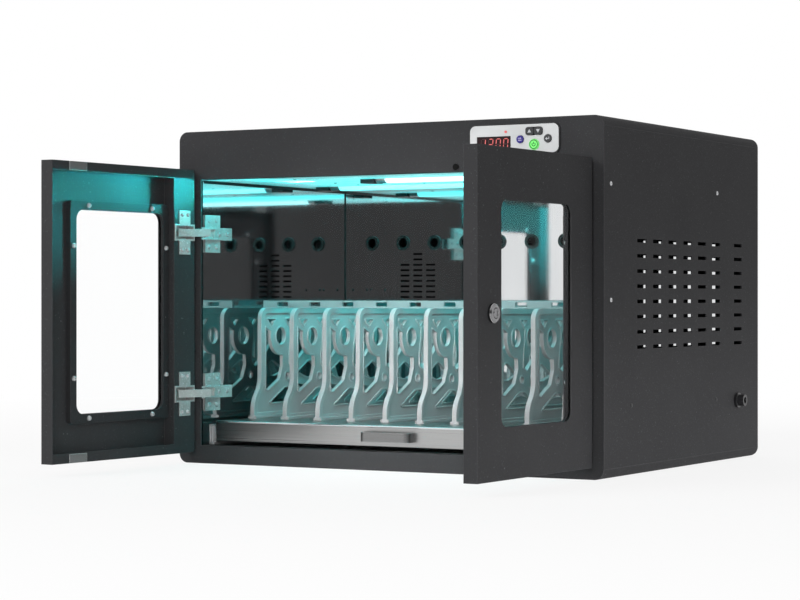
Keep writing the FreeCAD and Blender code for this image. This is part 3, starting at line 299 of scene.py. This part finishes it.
FINISHES = {
    "powder_coat": powder_coat("powder_coat", (0.034, 0.034, 0.036), (0.054, 0.054, 0.056), 1300),
    "window_trim": powder_coat("window_trim", (0.028, 0.028, 0.03), (0.042, 0.042, 0.044), 1600),
    "polished_steel": polished_steel(),
    "brushed_steel": brushed_steel("brushed_steel", (0.44, 0.44, 0.44), (0.52, 0.52, 0.515)),
    "reflector": reflector(),
    "lamp_glass": lamp_glass(),
    "lamp_cap": plated("lamp_cap", (0.6, 0.6, 0.61), (0.75, 0.76, 0.78), 0.3),
    "black_plastic": moulded("black_plastic", (0.012, 0.012, 0.013), (0.022, 0.022, 0.024), 0.35),
    "rubber": moulded("rubber", (0.006, 0.006, 0.006), (0.012, 0.012, 0.012), 0.5),
    "strip_housing": moulded("strip_housing", (0.04, 0.04, 0.044), (0.055, 0.055, 0.06), 0.5),
    "zinc_steel": zinc_steel(),
    "nickel": plated("nickel", (0.56, 0.56, 0.55), (0.66, 0.66, 0.65), 0.22, 0.5),
    "divider_plastic": moulded("divider_plastic", (0.30, 0.308, 0.31), (0.36, 0.366, 0.37), 0.36,
                               radius=0.9 * MM),
    # The tie bar's teal tint is the lamps' cyan light painted into its colour
    "tie_plastic": moulded("tie_plastic", (0.16, 0.25, 0.255), (0.21, 0.32, 0.325), 0.34, radius=0.8 * MM),
    "window": window_sheet(),
    "strike": brushed_steel("strike", (0.15, 0.15, 0.15), (0.19, 0.19, 0.19), 0.25),
    "lock_chrome": plated("lock_chrome", (0.20, 0.20, 0.205), (0.27, 0.27, 0.275), 0.09),
    "panel_face": moulded("panel_face", (0.60, 0.605, 0.61), (0.67, 0.675, 0.68), 0.42),
    "display": display_lens(),
    "led_red": lit("led_red", (0.52, 0.10, 0.095), (0.66, 0.15, 0.145), 0.42),
    "key_blue": moulded("key_blue", (0.030, 0.018, 0.20), (0.045, 0.03, 0.28), 0.3),
    "key_grey": moulded("key_grey", (0.035, 0.035, 0.037), (0.05, 0.05, 0.053), 0.35),
    "key_green": lit("key_green", (0.14, 0.66, 0.13), (0.20, 0.80, 0.19), 0.5),
    "key_dark": moulded("key_dark", (0.028, 0.028, 0.03), (0.042, 0.042, 0.045), 0.35),
    "circuit_board": circuit_board(),
    "brass": plated("brass", (0.62, 0.44, 0.18), (0.76, 0.56, 0.26), 0.3),
}
PRINTS = {
    "pale_print": moulded("pale_print", (0.50, 0.51, 0.53), (0.60, 0.61, 0.63), 0.4, grain=3000),
    "violet_print": moulded("violet_print", (0.42, 0.38, 0.62), (0.52, 0.48, 0.72), 0.4, grain=3000),
    "green_print": moulded("green_print", (0.006, 0.10, 0.012), (0.012, 0.14, 0.02), 0.4, grain=3000),
    "green_ring": moulded("green_ring", (0.05, 0.27, 0.05), (0.07, 0.33, 0.07), 0.4, grain=3000),
    "unlit_segment": moulded("unlit_segment", (0.03, 0.010, 0.011), (0.045, 0.014, 0.015), 0.4, grain=3000),
}

for node in NODES.values():
    for index, material in enumerate(node.data.materials):
        node.data.materials[index] = FINISHES[material.name.split(".")[0]]
NODES["tray_handle"].data.materials[0] = brushed_steel(
    "handle_steel", (0.24, 0.24, 0.24), (0.31, 0.31, 0.31))
NODES["door_bumper"].data.materials[0] = moulded(
    "bumper_rubber", (0.003, 0.003, 0.003), (0.005, 0.005, 0.005), 0.35, Specular_IOR_Level=0.12)


# Small pieces. Each is drawn in millimetres in the part's frame, with its place in its mesh

def piece(name, body, slot, mesh, material=None):
    """A finished piece that rides on a body."""
    mesh.materials.clear()
    mesh.materials.append(material or FINISHES[slot])
    made = bpy.data.objects.new(name, mesh)
    bpy.context.scene.collection.objects.link(made)
    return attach(made, body)


def mesh_from(name, shape, smooth_deg=40):
    """A bmesh in millimetres turned into a mesh in metres, with its faces outwards."""
    bmesh.ops.remove_doubles(shape, verts=shape.verts, dist=1e-4)
    bmesh.ops.recalc_face_normals(shape, faces=shape.faces)
    shape.transform(Matrix.Scale(MM, 4))
    mesh = bpy.data.meshes.new(name)
    shape.to_mesh(mesh)
    shape.free()
    mesh.shade_smooth()
    mesh.set_sharp_from_angle(angle=math.radians(smooth_deg))
    return mesh


def loft(shape, loops, around=False):
    """Skins rings of points that follow each other. Closed at both ends, or all round."""
    rings = [[shape.verts.new(point) for point in loop] for loop in loops]
    pairs = list(zip(rings, rings[1:]))
    if around:
        pairs.append((rings[-1], rings[0]))
    else:
        shape.faces.new(rings[0])
        shape.faces.new(rings[-1])
    for one, two in pairs:
        for i in range(len(one)):
            j = (i + 1) % len(one)
            shape.faces.new((one[i], one[j], two[j], two[i]))


def prism(shape, outline, back, front):
    """A flat form of one thickness that faces forward. Its outline is drawn in X and Z."""
    loft(shape, [[(x, y, z) for x, z in outline] for y in (back, front)])


def hollow_prism(shape, outer, inner, back, front):
    """The same with a hole. Both outlines have as many points."""
    rings = []
    for outline, y in ((outer, back), (outer, front), (inner, front), (inner, back)):
        rings.append([(x, y, z) for x, z in outline])
    loft(shape, rings, around=True)


def rounded_outline(low, high, radius, steps=8):
    points = []
    corners = ((high[0] - radius, high[1] - radius), (low[0] + radius, high[1] - radius),
               (low[0] + radius, low[1] + radius), (high[0] - radius, low[1] + radius))
    for quarter, (x, z) in enumerate(corners):
        for step in range(steps + 1):
            angle = math.radians(90 * (quarter + step / steps))
            points.append((x + radius * math.cos(angle), z + radius * math.sin(angle)))
    return points


def rectangle(left, low, right, high):
    return [(left, low), (right, low), (right, high), (left, high)]


def circle(x, z, radius, start=0.0, end=360.0, steps=40):
    angles = [math.radians(start + (end - start) * step / steps) for step in range(steps)]
    return [(x + radius * math.cos(angle), z + radius * math.sin(angle)) for angle in angles]


def door_turn(side):
    """The turn that takes a shut door's place to the open one that the part rests in."""
    joint = JOINTS[side + "_door_swing"]
    pivot = Vector(joint["pos_m"]) / MM
    angle = -math.radians(joint["range_deg"][0]) * joint["axis"][2]
    return Matrix.Translation(pivot) @ Matrix.Rotation(angle, 4, "Z") @ Matrix.Translation(-pivot)


# Screws: a tree that sets a domed head with a cross recess on every point

def screw_tree():
    tree = bpy.data.node_groups.new("screw_heads", "GeometryNodeTree")
    sockets = tree.interface
    sockets.new_socket("Points", in_out="INPUT", socket_type="NodeSocketGeometry")
    for name in ("Radius", "Dome", "Recess"):
        sockets.new_socket(name, in_out="INPUT", socket_type="NodeSocketFloat")
    sockets.new_socket("Seed", in_out="INPUT", socket_type="NodeSocketInt")
    sockets.new_socket("Finish", in_out="INPUT", socket_type="NodeSocketMaterial")
    sockets.new_socket("Screws", in_out="OUTPUT", socket_type="NodeSocketGeometry")
    form = Wiring(tree)
    given = form.node("NodeGroupInput").outputs

    # The dome: the upper part of a ball with a flat base
    ball = form.node("GeometryNodeMeshUVSphere", {"Segments": 20, "Rings": 10, "Radius": 1.0})
    place = form.axes(form.node("GeometryNodeInputPosition").outputs[0])
    flat = form.vector(X=place["X"], Y=place["Y"], Z=form.combine("MAXIMUM", place["Z"], -0.12))
    dome = form.node("GeometryNodeSetPosition", {"Geometry": ball.outputs["Mesh"], "Position": flat})
    size = form.vector(X=given["Radius"], Y=given["Radius"], Z=given["Dome"])
    head = form.node("GeometryNodeTransform", {"Geometry": dome.outputs[0], "Scale": size}).outputs[0]

    # The recess: two crossed bars cut from its top
    arm = form.product(given["Radius"], 1.15)
    width = form.product(given["Radius"], 0.28)
    lift = form.vector(Z=form.combine("SUBTRACT", form.product(given["Dome"], 1.5), given["Recess"]))
    recess = form.node("GeometryNodeMeshBoolean", {"Mesh 1": head}, operation="DIFFERENCE")
    for x, y in ((arm, width), (width, arm)):
        bar = form.node("GeometryNodeMeshCube", {"Size": form.vector(X=x, Y=y, Z=given["Dome"])})
        bar = form.node("GeometryNodeTransform", {"Geometry": bar.outputs["Mesh"], "Translation": lift})
        form.tree.links.new(bar.outputs[0], recess.inputs["Mesh 2"])

    # One head on each point, turned at random about the way that it faces
    facing = form.node("GeometryNodeInputNamedAttribute", {"Name": "facing"}, data_type="FLOAT_VECTOR")
    girth = form.node("GeometryNodeInputNamedAttribute", {"Name": "girth"}, data_type="FLOAT")
    aim = form.node("FunctionNodeAlignRotationToVector", {"Vector": facing.outputs[0]}, axis="Z").outputs[0]
    chance = form.node("FunctionNodeRandomValue", {"Seed": given["Seed"]}, data_type="FLOAT")
    angle = form.product(chance.outputs["Value"], math.pi)
    spin = form.node("FunctionNodeAxisAngleToRotation", {"Axis": (0, 0, 1), "Angle": angle}).outputs[0]
    turn = form.node("FunctionNodeRotateRotation", {0: aim, 1: spin}, rotation_space="LOCAL").outputs[0]
    heads = form.node("GeometryNodeInstanceOnPoints", {
        "Points": given["Points"], "Instance": recess.outputs["Mesh"], "Rotation": turn,
        "Scale": girth.outputs[0]}).outputs[0]
    real = form.node("GeometryNodeRealizeInstances", {"Geometry": heads}).outputs[0]
    done = form.node("GeometryNodeSetMaterial", {"Geometry": real, "Material": given["Finish"]}).outputs[0]
    form.node("NodeGroupOutput", {"Screws": done})
    return tree


SCREW_TREE = screw_tree()


def screws(name, body, slot, places, radius=2.3, dome=1.5, recess=0.8, seed=1):
    """Screw heads on one body. Each place is a point, the way that the head faces and its girth."""
    points = bpy.data.meshes.new(name + "_points")
    points.from_pydata([Vector(point) * MM for point, _, _ in places], [], [])
    facing = points.attributes.new("facing", "FLOAT_VECTOR", "POINT")
    facing.data.foreach_set("vector", [number for _, way, _ in places for number in way])
    girth = points.attributes.new("girth", "FLOAT", "POINT")
    girth.data.foreach_set("value", [scale for _, _, scale in places])
    sketch = bpy.data.objects.new(name + "_sketch", points)
    bpy.context.scene.collection.objects.link(sketch)
    maker = sketch.modifiers.new("heads", "NODES")
    maker.node_group = SCREW_TREE
    settings = {"Radius": radius * MM, "Dome": dome * MM, "Recess": recess * MM, "Seed": seed,
                "Finish": FINISHES[slot]}
    for socket in SCREW_TREE.interface.items_tree:
        if socket.name in settings:
            maker[socket.identifier] = settings[socket.name]
    ready = sketch.evaluated_get(bpy.context.evaluated_depsgraph_get())
    mesh = bpy.data.meshes.new_from_object(ready)
    bpy.data.objects.remove(sketch)
    mesh.name = name
    mesh.shade_smooth()
    mesh.set_sharp_from_angle(angle=math.radians(35))
    return piece(name, body, slot, mesh)


def door_screws(side):
    """The window frame's screws and those of the hinge cups, drawn on the shut left door."""
    places = []
    for x, z in ((72.9, 65.7), (50.0, 106.1)):
        for sx in (-1, 1):
            for sz in (-1, 1):
                places.append(((WINDOW_X + sx * x, WINDOW_TRIM_FACE, WINDOW_Z + sz * z), 1.0))
    for hinge in HINGE_HEIGHTS:
        for x in (-213.4, -204.3):
            for dz in (-18.6, 18.6):
                places.append(((x, HINGE_CUP_FACE, hinge + dz), 0.8))
    hand = -1 if side == "right" else 1
    turn = door_turn(side)
    way = turn.to_3x3() @ Vector((0, 1, 0))
    return [(turn @ Vector((hand * x, y, z)), way, scale) for (x, y, z), scale in places]


def cabinet_screws():
    """Bright screws: both sides, the hinge plates and their arms."""
    places = []
    for hand in (-1, 1):
        for y, z in ((-185, 284.5), (83, 285.5), (-185, 172.5)):
            places.append(((hand * SIDE_FACE, y, z), (hand, 0, 0), 1.0))
        for hinge in HINGE_HEIGHTS:
            for y in (-172, -158):
                for dz in (-14, 14):
                    places.append(((hand * 229.6, y, hinge + dz), (-hand, 0, 0), 1.15))
            for y in (-156, -141):
                places.append(((hand * 227.2, y, hinge), (-hand, 0, 0), 1.1))
    return places


def rear_screws():
    """Flat heads round the rear cover."""
    return [((hand * 236, REAR_FACE, z), (0, 1, 0), 1.0) for hand in (-1, 1) for z in (22, 175, 328)]


def hole_shade_rivets():
    """Domes shaped as blind rivets, coloured black as painted shade of small holes: low on both sides, in the
    ceiling and through the rear partition.
    """
    places = []
    for hand in (-1, 1):
        for y, z in ((-137, 69), (81, 67)):
            places.append(((hand * SIDE_FACE, y, z), (hand, 0, 0), 0.9))
        for x, y in ((135, -150), (135, -68), (135, -20), (51, -64), (51, -20), (135, 75), (51, 75)):
            places.append(((hand * x, y, CEILING_FACE), (0, 0, -1), 0.8))
        for x in (221.3, 202.2, 196.8, 177.9):
            places.append(((hand * x, PARTITION_FACE, 183.7), (0, -1, 0), 0.6))
    return places


for door in ("left", "right"):
    fixed = screws(door + "_door_screws", door + "_door", "zinc_steel", door_screws(door),
                   radius=2.8, dome=3.0, recess=1.2)
    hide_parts(door + "_window_screws")
screws("cabinet_screws", "cabinet", "zinc_steel", cabinet_screws(), dome=1.2, recess=0.6, seed=2)
screws("rear_screws", "cabinet", "zinc_steel", rear_screws(), radius=2.6, dome=0.3, recess=0.2, seed=4)
# Black domes: painted shade where the part has small holes
screws("cabinet_hole_shade_rivets", "cabinet", "black_plastic", hole_shade_rivets(), dome=0.9, recess=0.35, seed=3)


# Chamber: sealant in its corners, and edging on its sill

def quarter_bead(shape, start, end, inwards, radius):
    """A quarter-round strip in a corner. The two ways inwards lie along the sheets that meet there."""
    one, two = (Vector(way) for way in inwards)
    section = [Vector((0, 0, 0))]
    for step in range(6):
        angle = math.radians(90 * step / 5)
        section.append(radius * ((1 - math.sin(angle)) * one + (1 - math.cos(angle)) * two))
    loft(shape, [[Vector(place) + offset for offset in section] for place in (start, end)])


def corner_seals():
    shape = bmesh.new()
    for hand in (-1, 1):
        x = hand * LINER_FACE
        in_x = (-hand, 0, 0)
        quarter_bead(shape, (x, -178, CEILING_FACE), (x, 111.8, CEILING_FACE), (in_x, (0, 0, -1)), 3.0)
        quarter_bead(shape, (x, PARTITION_FACE, 21), (x, PARTITION_FACE, 299), (in_x, (0, -1, 0)), 1.3)
    piece("corner_seals", "cabinet", "rubber", mesh_from("corner_seals", shape))


def sill_trim():
    """Edging on the front of the chamber's floor."""
    section = ((-198.0, 19.05), (-198.7, 19.05), (-199.0, 19.3),
               (-199.0, 19.8), (-198.7, 20.05), (-198.0, 20.05))
    shape = bmesh.new()
    loft(shape, [[(x, y, z) for y, z in section] for x in (-219, 219)])
    piece("sill_trim", "cabinet", "rubber", mesh_from("sill_trim", shape))


corner_seals()
sill_trim()


# Lock: a domed bezel round the key's core, drawn on the shut right door

def lock_bezel():
    profile = [(8.7, 217.6), (8.9, 218.6), (8.6, 220.0), (7.9, 221.0), (7.0, 221.7), (6.1, 221.9),
               (5.3, 221.6), (4.8, 220.9), (4.75, 219.6)]
    shape = bmesh.new()
    steps = 48
    loops = []
    for step in range(steps):
        angle = math.tau * step / steps
        loops.append([(LOCK_X + r * math.cos(angle), -y, LOCK_Z + r * math.sin(angle)) for r, y in profile])
    loft(shape, loops, around=True)
    shape.transform(door_turn("right"))
    piece("lock_bezel", "right_door", "lock_chrome", mesh_from("lock_bezel", shape, 60))


def lock_face():
    """A domed face on the key's core, with a black slab on it painted as the shade of the key slot."""
    rings = []
    for radius, y in ((4.55, 220.5), (4.5, 221.2), (4.1, 221.8), (3.3, 222.3), (2.2, 222.65), (0.9, 222.8)):
        rings.append([(x, -y, z) for x, z in circle(LOCK_X, LOCK_Z, radius)])
    shape = bmesh.new()
    loft(shape, rings)
    shape.transform(door_turn("right"))
    piece("lock_face", "lock", "lock_chrome", mesh_from("lock_face", shape, 60))
    # The key slot is not cut: a black slab just proud of the dome is its painted shade
    slot_shade = rounded_outline((LOCK_X - 0.7, LOCK_Z - 2.7), (LOCK_X + 0.7, LOCK_Z + 2.7), 0.6)
    shape = bmesh.new()
    prism(shape, slot_shade, -221.5, -222.85)
    shape.transform(door_turn("right"))
    piece("lock_slot_shade", "lock", "black_plastic", mesh_from("lock_slot_shade", shape))


lock_bezel()
lock_face()


def tray_lip():
    """The rolled edge along the top of the tray's front."""
    low, high = (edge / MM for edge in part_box("tray"))
    section = circle(low.y + 0.9, high.z - 0.7, 1.3, steps=20)
    shape = bmesh.new()
    loft(shape, [[(x, y, z) for y, z in section] for x in (low.x + 3, high.x - 3)])
    piece("tray_lip", "tray", "polished_steel", mesh_from("tray_lip", shape))


tray_lip()


# Key panel: a black band round it as its painted shadow gap, the display's digits and the signs on the keys

def panel_shadow_gap():
    # A black band round the panel's outline: painted shade standing in for the shadow gap round the panel
    low, high = (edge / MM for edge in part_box("control_panel"))
    shape = bmesh.new()
    outer = rounded_outline((low.x - 1.2, low.z - 1.2), (high.x + 1.2, high.z + 1.2), 7.2)
    inner = rounded_outline((low.x - 0.02, low.z - 0.02), (high.x + 0.02, high.z + 0.02), 6.02)
    hollow_prism(shape, outer, inner, FRONT_FACE, low.y - 0.1)
    piece("panel_shadow_gap", "cabinet", "black_plastic", mesh_from("panel_shadow_gap", shape))


SEGMENTS = {"a": ((0, 2), (1, 2)), "b": ((1, 2), (1, 1)), "c": ((1, 1), (1, 0)), "d": ((0, 0), (1, 0)),
            "e": ((0, 1), (0, 0)), "f": ((0, 2), (0, 1)), "g": ((0, 1), (1, 1))}
DIGITS = {"1": "bc", "3": "abgcd", "0": "abcdef"}
READING = "1300"
DIGIT_WIDE, DIGIT_TALL, DIGIT_PITCH, DIGIT_LEAN = 4.6, 10.6, 8.3, 0.09
SEGMENT_HALF_WIDE, SEGMENT_GAP, SEGMENT_POINT = 0.45, 0.35, 0.6


def segment(start, end, left, base):
    """One bar of a digit: a slim hexagon that leans with the digit."""
    half_tall = DIGIT_TALL / 2
    ends = [Vector((x * DIGIT_WIDE, z * half_tall)) for x, z in (start, end)]
    along = (ends[1] - ends[0]).normalized()
    aside = Vector((-along.y, along.x)) * SEGMENT_HALF_WIDE
    point = along * SEGMENT_POINT
    one, two = ends[0] + along * SEGMENT_GAP, ends[1] - along * SEGMENT_GAP
    outline = (one, one + point + aside, two - point + aside, two, two - point - aside, one + point - aside)
    return [(left + corner.x + DIGIT_LEAN * corner.y, base + corner.y) for corner in outline]


def display_digits():
    """The lit bars of the reading, and the unlit ones that show faintly beside them."""
    low, high = (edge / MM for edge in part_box("display_lens"))
    lit_bars, unlit_bars = bmesh.new(), bmesh.new()
    left = (low.x + high.x - DIGIT_PITCH * (len(READING) - 1) - DIGIT_WIDE) / 2
    base = (low.z + high.z - DIGIT_TALL) / 2
    for index, digit in enumerate(READING):
        for name, (start, end) in SEGMENTS.items():
            shown = name in DIGITS[digit]
            outline = segment(start, end, left + index * DIGIT_PITCH, base)
            prism(lit_bars if shown else unlit_bars, outline, low.y + 0.02, low.y - (0.12 if shown else 0.06))
    piece("display_digits", "cabinet", "led_red", mesh_from("display_digits", lit_bars))
    piece("unlit_segments", "cabinet", "display", mesh_from("unlit_segments", unlit_bars),
          PRINTS["unlit_segment"])


def arrow(x, z, way, length, head, spread, shaft):
    """A flat arrow that points left or right."""
    tip, tail = length / 2, -length / 2
    outline = ((tip, 0), (tip - head, spread), (tip - head, shaft), (tail, shaft), (tail, -shaft),
               (tip - head, -shaft), (tip - head, -spread))
    return [(x + way * along, z + aside) for along, aside in outline]


SIGN_DEPTH, SIGN_HEIGHT = 0.05, 0.1


def key_middle(node):
    """The middle of a key's front, and how far forward it lies."""
    low, high = (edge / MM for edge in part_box(node))
    return (low.x + high.x) / 2, (low.z + high.z) / 2, low.y


def key_sign(name, key, slot, print_name, face, outlines):
    """Raised signs on a key's front."""
    shape = bmesh.new()
    for outline in outlines:
        prism(shape, outline, face + SIGN_DEPTH, face - SIGN_HEIGHT)
    piece(name, key, slot, mesh_from(name, shape), PRINTS[print_name])


def key_signs():
    """A triangle on each arrow key, arrows on the round keys, and the power sign."""
    for key, way in (("up_button", 1), ("down_button", -1)):
        x, z, face = key_middle(key)
        triangle = [(x - 2.1, z - 1.5 * way), (x + 2.1, z - 1.5 * way), (x, z + 1.9 * way)]
        key_sign(key + "_sign", key, "key_dark", "pale_print", face, [triangle])
    x, z, face = key_middle("blue_button")
    arrows = [arrow(x, z + 0.95 * way, way, 4.0, 1.6, 0.95, 0.36) for way in (-1, 1)]
    key_sign("blue_button_sign", "blue_button", "key_blue", "violet_print", face, arrows)
    x, z, face = key_middle("grey_button")
    bent = [arrow(x - 0.2, z - 0.3, -1, 4.2, 1.8, 1.35, 0.42), rectangle(x + 1.3, z - 0.3, x + 1.95, z + 1.5)]
    key_sign("grey_button_sign", "grey_button", "key_grey", "pale_print", face, bent)
    x, z, face = key_middle("power_button")
    shape = bmesh.new()
    hollow_prism(shape, circle(x, z, 4.75), circle(x, z, 3.6), face + SIGN_DEPTH, face - SIGN_HEIGHT)
    piece("power_ring", "power_button", "key_green", mesh_from("power_ring", shape), PRINTS["green_ring"])
    arc = circle(x, z, 2.15, 130, 410, 30) + circle(x, z, 1.35, 410, 130, 30)
    stroke = rectangle(x - 0.42, z + 0.2, x + 0.42, z + 2.5)
    key_sign("power_sign", "power_button", "key_green", "green_print", face, [arc, stroke])


panel_shadow_gap()
display_digits()
key_signs()


# Studio: a white world that is dark only behind the camera, a floor, soft lamps and the lit tubes

CAMERA_PLACE = Vector((1.1891, -2.2264, 0.1748))
CAMERA_TURN_DEG = 29.94
FOCAL_MM, SENSOR_MM = 104.76, 36
HORIZON_SHIFT = -0.003
AMBIENT = 0.42
ROOM_TONE = 0.065
FLOOR_REACH = 6.0
UV_TINT = (0.03, 0.88, 0.90)


def camera():
    lens = bpy.data.cameras.new("camera")
    lens.lens, lens.sensor_width, lens.shift_y = FOCAL_MM, SENSOR_MM, HORIZON_SHIFT
    eye = bpy.data.objects.new("camera", lens)
    eye.location = CAMERA_PLACE
    eye.rotation_euler = Euler((math.radians(90), 0, math.radians(CAMERA_TURN_DEG)))
    bpy.context.scene.collection.objects.link(eye)
    bpy.context.scene.camera = eye


def backdrop_rays(wiring):
    """1 for the rays that see the background itself: from the camera, a mirror or a clear pane."""
    rays = wiring.node("ShaderNodeLightPath").outputs
    mirrored = wiring.combine("MAXIMUM", rays["Is Camera Ray"], rays["Is Glossy Ray"])
    return wiring.combine("MAXIMUM", mirrored, rays["Is Transmission Ray"])


def world():
    """White where the background shows. The room behind the camera is dark, which polished steel reflects."""
    made = bpy.data.worlds.new("studio")
    bpy.context.scene.world = made
    made.use_nodes = True
    sky = Wiring(made.node_tree)
    sight = sky.node("ShaderNodeTexCoord").outputs["Generated"]
    behind = Vector((CAMERA_PLACE.x, CAMERA_PLACE.y, 0)).normalized()
    inputs = {"Value": sky.dot(sight, behind), "From Min": 0.62, "From Max": 0.86,
              "To Min": 1.0, "To Max": ROOM_TONE}
    room = sky.node("ShaderNodeMapRange", inputs, interpolation_type="SMOOTHSTEP").outputs["Result"]
    level = sky.node("ShaderNodeMix", {0: backdrop_rays(sky), 2: AMBIENT, 3: room}).outputs[0]
    sky.wire(sky.tree.nodes["Background"], {"Color": (1, 1, 1, 1), "Strength": level})


def floor():
    """A pale floor that keeps a soft shadow near the object and runs into the white background."""
    skin = Finish("floor", (0.82, 0.82, 0.82), 0.9)
    away = skin.node("ShaderNodeVectorMath", {0: skin.place}, operation="LENGTH").outputs["Value"]
    share = skin.product(backdrop_rays(skin), skin.band(away, 0.6, 1.7, 0.86, 1.0))
    plain = skin.node("ShaderNodeEmission", {"Color": (1, 1, 1, 1), "Strength": 1.0}).outputs[0]
    mixed = skin.node("ShaderNodeMixShader", {0: share, 1: skin.shader.outputs[0], 2: plain}).outputs[0]
    skin.wire(skin.tree.nodes["Material Output"], {"Surface": mixed})
    skin.finish(Base_Color=skin.shades(skin.noise(3), (0.80, 0.80, 0.80), (0.84, 0.84, 0.84)))
    mesh = bpy.data.meshes.new("floor")
    square = rectangle(-FLOOR_REACH, -FLOOR_REACH, FLOOR_REACH, FLOOR_REACH)
    mesh.from_pydata([(x, y, CAD_BOX[0].z) for x, y in square], [], [(0, 1, 2, 3)])
    mesh.materials.append(skin.material)
    made = bpy.data.objects.new("floor", mesh)
    bpy.context.scene.collection.objects.link(made)


def soft_lamp(name, place, aim, size, watts, colour=(1, 1, 1), spread_deg=180):
    """A flat lamp that lights the part and isn't seen itself."""
    data = bpy.data.lights.new(name, "AREA")
    data.shape = "RECTANGLE"
    data.size, data.size_y = size
    data.energy, data.color = watts, colour
    data.spread = math.radians(spread_deg)
    made = bpy.data.objects.new(name, data)
    made.location = place
    made.rotation_euler = (Vector(aim) - Vector(place)).to_track_quat("-Z", "Y").to_euler()
    made.visible_camera = made.visible_glossy = made.visible_transmission = False
    bpy.context.scene.collection.objects.link(made)


def room_lamps():
    soft_lamp("key_lamp", (-1.2, -2.2, 1.5), (0, -0.1, 0.17), (1.6, 1.2), 32)
    soft_lamp("side_lamp", (1.8, -0.5, 0.1), (0.25, 0, 0.0), (0.9, 0.15), 0.45, spread_deg=16)
    soft_lamp("back_lamp", (-0.9, 2.3, 1.4), (0, 0.1, 0.17), (1.6, 1.2), 26)
    soft_lamp("front_lamp", (0.75, -2.3, 0.5), (0.2, -0.2, 0.17), (0.8, 0.8), 14)
    soft_lamp("chamber_fill", (0.12, -0.62, 0.24), (-0.04, -0.05, 0.08), (0.14, 0.14), 0.28, spread_deg=50)


def chamber_lamps():
    """The tubes' light on the dividers, walls and ceiling, and the glow that reaches the left door."""
    for index, (x, y) in enumerate(((0.067, -0.104), (-0.067, 0.022))):
        soft_lamp(f"tube_light_{index}", (x, y, 0.292), (x, y, 0), (0.23, 0.02), 0.04, UV_TINT)
    for index in range(6):
        x = -0.15 + 0.075 * index
        soft_lamp(f"bay_light_{index}", (x, -0.04, 0.255), (x - 0.05, -0.04, 0.165), (0.24, 0.03),
                  0.078 - 0.013 * index, UV_TINT, spread_deg=70)
    soft_lamp("liner_fill", (0.226, -0.09, 0.12), (0, -0.09, 0.10), (0.10, 0.12), 0.11)
    soft_lamp("ceiling_glow", (0, -0.04, 0.255), (0, -0.04, 0.3), (0.40, 0.24), 0.62, (0.04, 0.92, 0.92))
    soft_lamp("hinge_glow", (-0.185, -0.188, 0.287), (-0.235, -0.195, 0.25), (0.03, 0.02), 0.06, UV_TINT)
    soft_lamp("door_glow", (-0.15, -0.10, 0.2988), (-0.24, -0.34, 0.295), (0.03, 0.0008), 0.66, UV_TINT,
              spread_deg=38)
    soft_lamp("stile_glow", (-0.05, -0.26, 0.29), (-0.25, -0.425, 0.238), (0.02, 0.02), 0.05, UV_TINT,
              spread_deg=27)


camera()
world()
floor()
room_lamps()
chamber_lamps()
bpy.context.scene.view_settings.view_transform = "Standard"
